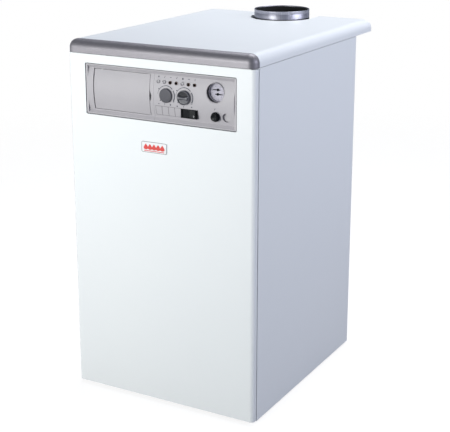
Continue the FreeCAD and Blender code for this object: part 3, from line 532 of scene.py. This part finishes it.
def make_plate_gaps():
    """Dark strips on the joints round and between the four blanking plates: painted shade in the
    gaps.
    """
    fascia_at = surface_finder("fascia_right")
    low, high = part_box("blanking_plates")
    count, gap = 4, 0.55 * MM
    pitch = (high.x - low.x) / count

    def front_at(x, z):
        """The plates fill a cut-out, so this is the height of the fascia beside it."""
        return fascia_at(low.x - 2 * MM, z)

    build = Build()
    for number in range(count + 1):
        x = low.x + pitch * number
        line_band(build, (x, low.z), (x, high.z), gap, front_at)
    for z in (low.z, high.z):
        line_band(build, (low.x, z), (high.x, z), gap, front_at)
    build.piece("plate_gap_shade", "cabinet", "fascia_grey", ["well_black"])


def make_fascia_prints():
    """The symbols over the lamps and round the knobs, and the two scale arcs."""
    front_at = surface_finder("fascia_right")
    kinds = ("flame", "slant", "dash", "slant", "gable", "dash", "bar")
    low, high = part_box("clear_lamps")
    first, last = low.x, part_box("dark_lamps")[1].x
    radius, height = (high.z - low.z) / 2, middle("clear_lamps").z
    pitch = (last - first - 2 * radius) / (len(kinds) - 1)
    symbol_rise, symbol_size, knob_mark_size = 11.5 * MM, 4.4 * MM, 4.0 * MM
    arc_radius = 22.3 * MM
    build = Build()
    for number, kind in enumerate(kinds):
        spot = (first + radius + pitch * number, height + symbol_rise)
        stamp(build, SHAPES[kind], spot, symbol_size, front_at)
    knob_marks = {
        "selector_knob": (("peak", -19.5, 14.5), ("dot", -15.5, -12.5), ("dash", -20.0, -20.5),
                          ("bar", -4.5, -20.3), ("flame", 11.0, -20.0), ("cross", 19.8, -12.3)),
        "thermostat_knob": (("dot", -19.8, 14.0), ("dot", -16.4, -12.7), ("flame", -19.2, -21.4),
                            ("bar", -2.2, -21.2), ("dash", 19.2, -13.2), ("dot", 18.8, -20.4)),
    }
    for node, marks in knob_marks.items():
        centre = middle(node)
        for kind, across, up in marks:
            spot = (centre.x + across * MM, centre.z + up * MM)
            stamp(build, SHAPES[kind], spot, knob_mark_size, front_at)
        arc_band(build, (centre.x, centre.z), arc_radius, 2.2 * MM, 44, 176, front_at,
                 last_width=0.6 * MM)
        arc_band(build, (centre.x, centre.z), arc_radius, 2.8 * MM, -30, 35, front_at,
                 steps=24)
    cap = middle("safety_cap")
    stamp(build, SHAPES["slant"], (cap.x - 2 * MM, cap.z + 17 * MM), 4.2 * MM, front_at)
    build.piece("fascia_symbols", "cabinet", "black_plastic", ["print_grey"])


# -------------------- controls
KNOB_BORE = 3.05 * MM


def smooth_step(low, high, value):
    share = min(1.0, max(0.0, (value - low) / (high - low)))
    return share * share * (3 - 2 * share)


def make_selector_knob():
    """A low disc, slightly domed, with a fluted rim."""
    low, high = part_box("selector_knob")
    radius = (high.x - low.x) / 2
    centre = Vector((middle("selector_knob").x, 0, middle("selector_knob").z))
    face, back = low.y, high.y
    flutes = (48, 0.25 * MM, 7, 8)
    profile = [(0, face + 1.4 * MM), (radius * 0.45, face + 1.45 * MM),
               (radius * 0.78, face + 1.6 * MM), (radius * 0.90, face + 1.9 * MM),
               (radius - 0.9 * MM, face + 2.3 * MM), (radius - 0.4 * MM, face + 2.7 * MM),
               (radius - 0.15 * MM, face + 3.1 * MM), (radius - 0.1 * MM, back - 0.9 * MM),
               (radius, back - 0.7 * MM), (radius, back),
               (KNOB_BORE, back), (KNOB_BORE, face + 2 * MM), (0, face + 2 * MM)]
    build = Build()
    build.lathe(centre, profile, segments=192, flute=flutes)
    build.piece("selector_knob_skin", "selector", "knob_grey", stands_for=("selector_knob",))


def grip_height(u, v, radius):
    """How far the thermostat knob's face stands back at (u, v), from its foremost plane."""
    grip_rise, scoop_depth, dome_drop = 3.0 * MM, 3.4 * MM, 2.2 * MM
    reach = math.hypot(u, v)
    inner = radius - 1.9 * MM
    waist = 1.7 * MM + 3.4 * MM * (u / inner) ** 2
    beyond = abs(v) - waist
    in_bowl = 1 - smooth_step(inner - 1.6 * MM, inner, reach)
    scoop = smooth_step(0.0, 2.4 * MM, beyond) * in_bowl
    fin = (1 - smooth_step(-0.3 * MM, 1.0 * MM, beyond)) * (
        1 - smooth_step(inner - 2.6 * MM, inner + 0.4 * MM, reach))
    dome = dome_drop * (reach / radius) ** 4
    return grip_rise * (1 - fin) + scoop_depth * scoop + dome * (1 - scoop)


def make_thermostat_knob():
    """A round knob with a waisted grip across it and a scoop on each side of the grip. The
    upper scoop takes a darker copy of the knob grey: painted shade."""
    low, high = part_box("thermostat_knob")
    radius = (high.x - low.x) / 2
    centre = middle("thermostat_knob")
    face, back = low.y, high.y
    segments, count = 120, 34
    rim = radius - 0.5 * MM
    rings = []
    for number in range(count + 1):
        reach = rim * number / count
        ring = []
        for step in range(segments):
            angle = math.tau * step / segments
            u, v = reach * math.cos(angle), reach * math.sin(angle)
            ring.append(Vector((centre.x + u, face + grip_height(u, v, radius), centre.z + v)))
        rings.append(ring)
    # Finish numbers: the faces of the upper scoop get the darker copy, painted shade.
    plain, painted_scoop_shade = 0, 1
    marks = []
    for number in range(count):
        reach = rim * (number + 0.5) / count
        for step in range(segments):
            angle = math.tau * (step + 0.5) / segments
            u, v = reach * math.cos(angle), reach * math.sin(angle)
            above_grip = v > 3.2 * MM + 3.4 * MM * (u / radius) ** 2
            in_scoop = above_grip and reach < radius - 2.4 * MM
            marks.append(painted_scoop_shade if in_scoop else plain)
    for reach, along in ((radius - 0.15 * MM, face + 5.9 * MM),
                         (radius - 0.1 * MM, back - 1.2 * MM), (radius, back - 0.9 * MM),
                         (radius, back), (KNOB_BORE, back), (KNOB_BORE, face + 8 * MM),
                         (0, face + 8 * MM)):
        rings.append([Vector((centre.x + reach * math.cos(math.tau * step / segments), along,
                              centre.z + reach * math.sin(math.tau * step / segments)))
                      for step in range(segments)])
    build = Build()
    build.skin(rings)
    build.marks[:len(marks)] = marks
    build.piece("thermostat_knob_skin", "thermostat", "knob_grey", ["knob_gloss", "knob_shade"],
                stands_for=("thermostat_knob",))


def lamp_places():
    """The centres of the seven lamps along their row, and their radius."""
    low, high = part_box("clear_lamps")
    radius = (high.z - low.z) / 2
    first = low.x + radius
    count = 7
    pitch = (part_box("dark_lamps")[1].x - radius - first) / (count - 1)
    height = (low.z + high.z) / 2
    return [Vector((first + pitch * number, 0, height)) for number in range(count)], radius


def make_lamps(node, name, finishes, depth, numbers):
    """Domed lenses, each set back by the depth in a short tube. The finishes are those of
    the lens, the tube's wall and its rim."""
    low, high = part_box(node)
    places, radius = lamp_places()
    lens_part, wall_part, rim_part = 0, 1, 2
    shoulder, rim = low.y - 0.7 * MM, low.y - 0.9 * MM
    inside = radius - 0.35 * MM
    dome_radius, dome_rise = radius - 0.4 * MM, 1.3 * MM
    build = Build()
    for number in numbers:
        profile = [(radius, high.y), (radius, shoulder), (radius - 0.15 * MM, rim),
                   (radius - 0.25 * MM, rim), (inside, shoulder), (inside, low.y + depth)]
        marks = [rim_part] * 4 + [wall_part, lens_part]
        for step in range(6):
            angle = math.radians(step * 15)
            profile.append((dome_radius * math.cos(angle),
                            low.y + depth - dome_rise * math.sin(angle)))
            marks.append(lens_part)
        profile += [(0, low.y + depth - dome_rise), (0, high.y)]
        marks += [lens_part, wall_part]
        build.lathe(places[number], profile, marks, segments=40)
    build.piece(name, "cabinet", finishes[0], finishes, stands_for=(node,))


def make_lamp_rings():
    """A thin moulded collar round each lamp."""
    front_at = surface_finder("fascia_right")
    places, radius = lamp_places()
    build = Build()
    for place in places:
        arc_band(build, (place.x, place.z), radius + 0.55 * MM, 0.9 * MM, 0, 360,
                 lambda x, z: front_at(place.x - radius - 1.5 * MM, z),
                 lift=0.5 * MM, sink=1.0 * MM, steps=40)
    build.piece("lamp_rings", "cabinet", "fascia_grey")


def make_gauge():
    """The gauge's rim, its dark well, the bright ring round the dial, and the scales."""
    low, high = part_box("gauge_housing")
    radius = (high.x - low.x) / 2
    dial_low, dial_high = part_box("gauge_dial")
    dial_radius = (dial_high.x - dial_low.x) / 2
    centre = Vector((middle("gauge_housing").x, 0, middle("gauge_housing").z))
    wall, dial = dial_radius + 0.1 * MM, dial_low.y
    profile = [(radius, high.y), (radius, low.y + 0.5 * MM), (radius - 0.5 * MM, low.y),
               (radius - 1.2 * MM, low.y), (radius - 1.8 * MM, low.y + 0.6 * MM),
               (wall, low.y + 1.6 * MM), (wall, dial - 5.2 * MM),
               (wall - 0.4 * MM, dial - 5.0 * MM), (wall - 0.9 * MM, dial - 1.8 * MM),
               (wall - 1.1 * MM, dial - 0.9 * MM),
               (wall - 1.2 * MM, dial), (wall, dial + 0.3 * MM),
               (wall, dial_high.y), (0, dial_high.y), (0, high.y)]
    grey, dark, ring = 0, 1, 2
    marks = [grey] * 4 + [dark] * 2 + [ring] * 2 + [dark] * 6
    build = Build()
    build.lathe(centre, profile, marks, segments=96)
    build.piece("gauge_body", "cabinet", "fascia_grey",
                ["fascia_grey", "well_black", "gauge_face"], stands_for=("gauge_housing",))
    make_dial_scales(centre, dial_low.y, dial_radius)


def make_dial_scales(centre, front, radius):
    """Ticks and numbers: 0 to 120 above, 0 to 4 below."""
    build = Build()

    def flat(x, z):
        return front

    outer = radius - 2.6 * MM
    edge_gap, sweep = 12, 156
    for half_turn, count in ((0, 12), (180, 16)):
        for number in range(count + 1):
            angle = math.radians(half_turn + edge_gap + sweep * number / count)
            major = number % 4 == 0
            length = 3.0 * MM if major else 1.7 * MM
            width = 0.5 * MM if major else 0.28 * MM
            along = Vector((math.cos(angle), math.sin(angle)))
            side = Vector((-along.y, along.x)) * width / 2
            ends = [along * outer + side, along * outer - side,
                    along * (outer - length) - side, along * (outer - length) + side]
            outline = [(end.x, end.y) for end in ends]
            stamp(build, outline, (centre.x, centre.z), 1.0, flat, lift=0.08 * MM, sink=0.1 * MM)
    build.piece("dial_ticks", "cabinet", "gauge_face", ["black_plastic"])
    numbers = [(str(40 * n), 180 - edge_gap - sweep * n / 3) for n in range(4)]
    numbers += [(str(n), 180 + edge_gap + sweep * n / 4) for n in range(5)]
    reach, number_size = radius - 7.6 * MM, 2.6 * MM
    for order, (text, degrees) in enumerate(numbers):
        angle = math.radians(degrees)
        place = (centre.x + reach * math.cos(angle), front - 0.06 * MM,
                 centre.z + reach * math.sin(angle))
        make_number("dial_number_%d" % order, text, place, number_size)


def make_pointer(node, body, hub_up):
    """A tapered needle with a domed hub, along the line of its CAD pointer."""
    low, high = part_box(node)
    centre = Vector((middle("gauge_housing").x, 0, middle("gauge_housing").z + hub_up))
    tip = max((vertex.co for vertex in NODES[node].data.vertices),
              key=lambda place: (place.xz - centre.xz).length)
    along = (tip.xz - centre.xz).normalized()
    across = Vector((-along.y, along.x))
    reach = (tip.xz - centre.xz).length
    hub_radius = 2.9 * MM
    build = Build()
    build.lathe(centre, [(0, low.y), (1.2 * MM, low.y + 0.1 * MM), (2.3 * MM, low.y + 0.5 * MM),
                         (hub_radius, low.y + 1.0 * MM), (hub_radius, high.y), (0, high.y)],
                segments=48)
    stations = ((-0.42, 1.1), (0.0, 1.3), (0.75, 0.8), (0.94, 0.35), (1.0, 0.1))
    section = ((1, 0.7), (0, 0.45), (-1, 0.7), (-1, 1.0), (1, 1.0))
    rings = []
    for share, half_width in stations:
        spot = centre.xz + along * reach * share
        ring = []
        for side, back in section:
            edge = spot + across * half_width * MM * side
            ring.append(Vector((edge.x, low.y + back * MM, edge.y)))
        rings.append(ring)
    build.capped(rings)
    build.piece(node + "_needle", body, "black_plastic", stands_for=(node,))


def make_number(name, text, place, size):
    """A printed number on the dial."""
    curve = bpy.data.curves.new(name, "FONT")
    curve.body = text
    curve.size = size
    curve.align_x = "CENTER"
    curve.align_y = "CENTER"
    curve.extrude = 0.04 * MM
    curve.materials.append(FINISH["black_plastic"])
    number = bpy.data.objects.new(name, curve)
    number.location = place
    number.rotation_euler = (math.radians(90), 0, 0)
    bpy.context.scene.collection.objects.link(number)
    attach(number, "cabinet")


def make_safety_cap():
    """A ribbed screw cap."""
    low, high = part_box("safety_cap")
    radius = (high.x - low.x) / 2
    centre = Vector((middle("safety_cap").x, 0, middle("safety_cap").z))
    face, back = low.y, high.y
    bore, bore_end = 4.95 * MM, back - 4 * MM
    ribs = (24, 0.7 * MM, 5, 6)
    profile = [(0, face + 0.5 * MM), (radius - 5.5 * MM, face + 0.4 * MM),
               (radius - 4.6 * MM, face), (radius - 3.9 * MM, face),
               (radius - 2.9 * MM, face + 0.5 * MM), (radius - 2.4 * MM, face + 1.5 * MM),
               (radius - 1.8 * MM, back - 3.4 * MM), (radius - 0.7 * MM, back - 2.8 * MM),
               (radius, back - 2.0 * MM), (radius, back - 0.2 * MM), (radius - 0.2 * MM, back),
               (bore, back), (bore, bore_end), (0, bore_end)]
    build = Build()
    build.lathe(centre, profile, segments=192, flute=ribs)
    build.piece("safety_cap_skin", "limit_cap", "black_plastic", stands_for=("safety_cap",))


def make_rocker_mark():
    """A small white ring on the rocker's right end."""
    front_at = surface_finder("power_rocker")
    low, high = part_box("power_rocker")
    spot = (high.x - 7.0 * MM, low.z + 5.0 * MM)
    build = Build()
    arc_band(build, spot, 1.5 * MM, 0.55 * MM, 0, 360, front_at, lift=0.1 * MM, steps=28)
    build.piece("rocker_mark", "rocker", "black_plastic", ["white_print"])


def make_badge():
    """A grey rim round the plate, and five plain red flames over a line on it."""
    low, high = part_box("badge_plate")
    centre = middle("badge_plate")

    def flat(x, z):
        return low.y

    half_width, half_height, corner = (high.x - low.x) / 2, (high.z - low.z) / 2, 4 * MM
    proud, steps = 0.3 * MM, 48
    rings = []
    for step in range(steps):
        angle = math.tau * (step + 0.5) / steps
        side_x = math.copysign(half_width - corner, math.cos(angle))
        side_z = math.copysign(half_height - corner, math.sin(angle))
        out = Vector((math.cos(angle), 0, math.sin(angle)))
        base = Vector((centre.x + side_x, 0, centre.z + side_z))
        outer, inner = base + out * (corner - 0.05 * MM), base + out * (corner - 1.3 * MM)
        rings.append([Vector((inner.x, low.y - proud, inner.z)),
                      Vector((outer.x, low.y - proud, outer.z)),
                      Vector((outer.x, low.y + proud, outer.z)),
                      Vector((inner.x, low.y + proud, inner.z))])
    rim = Build()
    rim.skin(rings, closed=True)
    rim.piece("badge_rim", "front_door", "trim_grey")
    flames = Build()
    pitch, flame_size, line_size, lift = 11.2 * MM, 14.5 * MM, 13 * MM, 0.35 * MM
    line = [(-2.1, -0.07), (2.1, -0.07), (2.1, 0.07), (-2.1, 0.07)]
    for number in range(5):
        spot = (centre.x + (number - 2) * pitch, centre.z + 1.0 * MM)
        stamp(flames, SHAPES["flame"], spot, flame_size, flat, lift=lift)
    stamp(flames, line, (centre.x, low.z + 4.2 * MM), line_size, flat, lift=lift)
    flames.piece("badge_flames", "front_door", "badge", ["red_enamel"])


def make_collar():
    """The flue spigot with its rolled hem and groove, its flange and foot up to just
    over the lid painted dark as shade, and a dark liner on its inner wall as painted shade."""
    low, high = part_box("flue_collar")
    flange = (high.x - low.x) / 2
    radius = flange - 10 * MM
    centre = middle("flue_collar")
    inner = radius - 1.2 * MM
    top, base = high.z, low.z
    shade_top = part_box("top_lid")[1].z + 0.8 * MM
    segments = 128
    metal_part, painted_foot_shade = 0, 1

    def turn(profile, marks=None):
        rings = [[Vector((centre.x + reach * math.cos(math.tau * step / segments),
                          centre.y + reach * math.sin(math.tau * step / segments), z))
                  for step in range(segments)] for reach, z in profile]
        build = Build()
        build.skin(rings, marks, closed=True)
        return build

    # Painted shade: the flange and the wall up to just over the lid take the dark finish, standing
    # in for the shadow round the spigot's foot.
    shell = turn([(inner, base), (flange, base), (flange, base + 1.5 * MM),
                  (radius + 1.0 * MM, base + 1.5 * MM), (radius, base + 2.5 * MM),
                  (radius, shade_top), (radius, top - 9.0 * MM),
                  (radius - 0.5 * MM, top - 8.0 * MM),
                  (radius - 0.5 * MM, top - 7.2 * MM), (radius, top - 6.2 * MM),
                  (radius, top - 0.5 * MM), (radius - 0.5 * MM, top), (inner + 0.1 * MM, top),
                  (inner - 0.5 * MM, top - 0.6 * MM), (inner - 0.5 * MM, top - 2.6 * MM),
                  (inner, top - 3.2 * MM)], [painted_foot_shade] * 5 + [metal_part] * 11)
    shell.piece("flue_collar_shell", "cabinet", "collar_metal", ["collar_metal", "soot"],
                stands_for=("flue_collar",))
    # A dark liner on the inner wall: painted shade for the deep inside of the spigot.
    liner = turn([(inner - 0.05 * MM, base + 0.5 * MM), (inner - 0.05 * MM, top - 3.4 * MM),
                  (inner - 0.4 * MM, top - 3.4 * MM), (inner - 0.4 * MM, base + 0.5 * MM)])
    liner.piece("flue_shade_liner", "cabinet", "collar_metal", ["soot"])


# -------------------- rear details
def screw_heads(name, places, facing, body, slot):
    """Pan-head screws with a cross recess. Places are on the surface they clamp."""
    radius, height, segments, rows = 3.6 * MM, 1.9 * MM, 32, 8
    recess_depth, sunk, turn_step = 1.1 * MM, 0.5 * MM, 0.4
    arm_side, arm_end = (0.3 * MM, 0.7 * MM), (1.7 * MM, 2.3 * MM)
    build = Build()
    out = Vector(facing)
    across = Vector((0, 0, 1)).cross(out).normalized()
    up = out.cross(across)
    for order, place in enumerate(places):
        turn = turn_step * order
        rings = []
        for row in range(rows + 1):
            share = row / rows
            ring = []
            for step in range(segments):
                angle = math.tau * step / segments
                u, v = radius * share * math.cos(angle), radius * share * math.sin(angle)
                rise = height * (1 - share ** 3.2)
                p = u * math.cos(turn) + v * math.sin(turn)
                q = v * math.cos(turn) - u * math.sin(turn)
                recess = (1 - smooth_step(*arm_side, min(abs(p), abs(q)))) * (
                    1 - smooth_step(*arm_end, math.hypot(p, q)))
                ring.append(Vector(place) + across * u + up * v
                            + out * (rise - recess_depth * recess))
            rings.append(ring)
        foot = Vector(place) - out * sunk
        angles = [math.tau * step / segments for step in range(segments)]
        rings.append([foot + across * radius * math.cos(angle) + up * radius * math.sin(angle)
                      for angle in angles])
        rings.append([foot] * segments)
        build.skin(rings)
    build.piece(name, body, slot, sharp=50.0)


def make_rear_details():
    """Screws round the rear panel, and pressed louvres in it."""
    low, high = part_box("rear_panel")
    face = high.y
    side_inset, end_inset = 9 * MM, 14 * MM
    xs = (low.x + side_inset, high.x - side_inset)
    zs = [low.z + end_inset + (high.z - low.z - 2 * end_inset) * step / 4 for step in range(5)]
    places = [(x, face, z) for x in xs for z in zs]
    places += [(low.x + (high.x - low.x) * share, face, low.z + end_inset)
               for share in (0.35, 0.65)]
    screw_heads("rear_screws", places, (0, 1, 0), "cabinet", "steel")
    build = Build()
    centre_x = middle("flue_collar").x
    column_offset, first_row, row_pitch = 62 * MM, 205, 17
    for column in (-1, 1):
        for row in range(9):
            louvre(build, centre_x + column * column_offset, face,
                   low.z + (first_row + row * row_pitch) * MM)
    build.piece("rear_louvres", "cabinet", "galvanised", sharp=60.0)


def louvre(build, x, y, z):
    """One pressed louvre: a half hood, closed at both ends, with its flat side below."""
    width, height, depth, sunk = 92 * MM, 9 * MM, 4.5 * MM, 0.2 * MM
    stations, parts, least = 12, 8, 0.02
    rings = []
    for step in range(stations + 1):
        share = step / stations * 2 - 1
        reach = math.sqrt(max(0.0, 1 - abs(share) ** 6))
        across, rise = x + share * width / 2, max(reach, least)
        ring = []
        for part in range(parts + 1):
            angle = math.pi / 2 * part / parts
            ring.append(Vector((across, y + depth * reach * math.cos(angle),
                                z + height * math.sin(angle) * rise)))
        ring.append(Vector((across, y - sunk, z + height * rise)))
        ring.append(Vector((across, y - sunk, z)))
        rings.append(ring)
    build.capped(rings)


# -------------------- stage
def make_floor():
    """A pale round floor that fades into the white surroundings at its rim."""
    radius, sides = 3.4, 96
    fade_start, fade_end = 1.1, 3.2
    glow = 0.86
    mesh = bpy.data.meshes.new("floor")
    angles = [math.tau * n / sides for n in range(sides)]
    points = [(radius * math.cos(angle), radius * math.sin(angle), 0) for angle in angles]
    mesh.from_pydata(points, [], [tuple(range(sides))])
    floor = bpy.data.objects.new("floor", mesh)
    bpy.context.scene.collection.objects.link(floor)
    graph = Graph("Pale floor")
    length = graph.add("ShaderNodeVectorMath", {0: graph.place}, operation="LENGTH")
    fade = graph.spread(length.outputs["Value"], fade_start, fade_end, 0.0, 1.0)
    grain = graph.noise(graph.place, 90.0, 4.0)
    tone = graph.mixed(grain, (0.16, 0.16, 0.165), (0.19, 0.19, 0.195))
    graph.feed(graph.shader.inputs["Base Color"], tone)
    graph.shader.inputs["Roughness"].default_value = 0.8
    seen = graph.add("ShaderNodeLightPath").outputs["Is Camera Ray"]
    graph.feed(graph.shader.inputs["Emission Color"], (1.0, 1.0, 1.0, 1.0))
    graph.feed(graph.shader.inputs["Emission Strength"], graph.maths("MULTIPLY", seen, glow))
    clear = graph.add("ShaderNodeBsdfTransparent")
    mixed = graph.add("ShaderNodeMixShader", {
        0: fade, 1: graph.shader.outputs[0], 2: clear.outputs[0]})
    graph.feed(graph.output.inputs["Surface"], mixed.outputs[0])
    mesh.materials.append(graph.material)


def make_world():
    """White for the camera; for the light, bright at the horizon and dimmer overhead."""
    horizon, overhead, strength = (0.74, 0.82, 1.0, 1.0), (0.36, 0.40, 0.50, 1.0), 0.40
    world = bpy.data.worlds.new("Studio")
    bpy.context.scene.world = world
    world.use_nodes = True
    tree = world.node_tree
    shown = tree.nodes["Background"]
    shown.inputs["Color"].default_value = (1.0, 1.0, 1.0, 1.0)
    shown.inputs["Strength"].default_value = 1.0
    lighting = tree.nodes.new("ShaderNodeBackground")
    coords = tree.nodes.new("ShaderNodeTexCoord")
    parts = tree.nodes.new("ShaderNodeSeparateXYZ")
    ramp = tree.nodes.new("ShaderNodeValToRGB")
    tree.links.new(coords.outputs["Generated"], parts.inputs[0])
    tree.links.new(parts.outputs["Z"], ramp.inputs["Fac"])
    ramp.color_ramp.elements[0].position = 0.0
    ramp.color_ramp.elements[0].color = horizon
    ramp.color_ramp.elements[1].position = 0.7
    ramp.color_ramp.elements[1].color = overhead
    tree.links.new(ramp.outputs["Color"], lighting.inputs["Color"])
    lighting.inputs["Strength"].default_value = strength
    choice = tree.nodes.new("ShaderNodeMixShader")
    path = tree.nodes.new("ShaderNodeLightPath")
    tree.links.new(path.outputs["Is Camera Ray"], choice.inputs[0])
    tree.links.new(lighting.outputs[0], choice.inputs[1])
    tree.links.new(shown.outputs[0], choice.inputs[2])
    tree.links.new(choice.outputs[0], tree.nodes["World Output"].inputs["Surface"])


def make_light(name, place, target, size, power, colour):
    """A soft rectangular light, with its size in metres and its power in watts."""
    data = bpy.data.lights.new(name, "AREA")
    data.shape = "RECTANGLE"
    data.size, data.size_y = size
    data.energy = power
    data.color = colour
    lamp = bpy.data.objects.new(name, data)
    lamp.location = place
    lamp.rotation_euler = (Vector(target) - Vector(place)).to_track_quat("-Z", "Y").to_euler()
    bpy.context.scene.collection.objects.link(lamp)


def make_camera():
    """The view from the right of the front, a little above the lid."""
    down, turn = 15.58, 29.19
    data = bpy.data.cameras.new("camera")
    data.sensor_width = 36.0
    data.lens = 90.48
    data.shift_y = -0.0844
    camera = bpy.data.objects.new("camera", data)
    camera.location = (1.366, -2.467, 1.278)
    camera.rotation_euler = (math.radians(90 - down), 0, math.radians(turn))
    bpy.context.scene.collection.objects.link(camera)
    bpy.context.scene.camera = camera


def make_stage():
    make_floor()
    make_world()
    make_light("key", (-0.60, -2.68, 0.92), (-0.05, -0.3, 0.42), (0.9, 0.9), 45, (0.99, 1.0, 0.96))
    make_light("low_left", (-3.0, -2.6, 0.35), (0, -0.3, 0.5), (2.4, 1.2), 42, (0.99, 1.0, 0.97))
    make_light("side", (3.1, 0.3, 1.5), (0.25, 0, 0.66), (2.0, 1.6), 54, (0.86, 0.88, 1.0))
    make_light("overhead", (0.0, 1.0, 2.9), (0, 0.1, 0.85), (2.0, 1.6), 63, (0.95, 0.97, 1.0))
    make_camera()
    bpy.context.scene.view_settings.view_transform = "Standard"


# -------------------- the whole scene
finish_nodes()
make_fascia_prints()
make_plate_gaps()
make_selector_knob()
make_thermostat_knob()
make_lamps("clear_lamps", "clear_lamp_lenses", ["lamp_clear", "button_grey", "fascia_grey"],
           1.6 * MM, (0, 1, 4))
make_lamps("dark_lamps", "dark_lamp_lenses", ["lamp_dark", "well_black", "lamp_amber"],
           2.6 * MM, (2, 3, 5, 6))
make_lamp_rings()
make_gauge()
make_pointer("temperature_pointer", "temperature_needle", 5 * MM)
make_pointer("pressure_pointer", "pressure_needle", -5 * MM)
make_safety_cap()
make_rocker_mark()
make_badge()
make_collar()
make_rear_details()
make_stage()
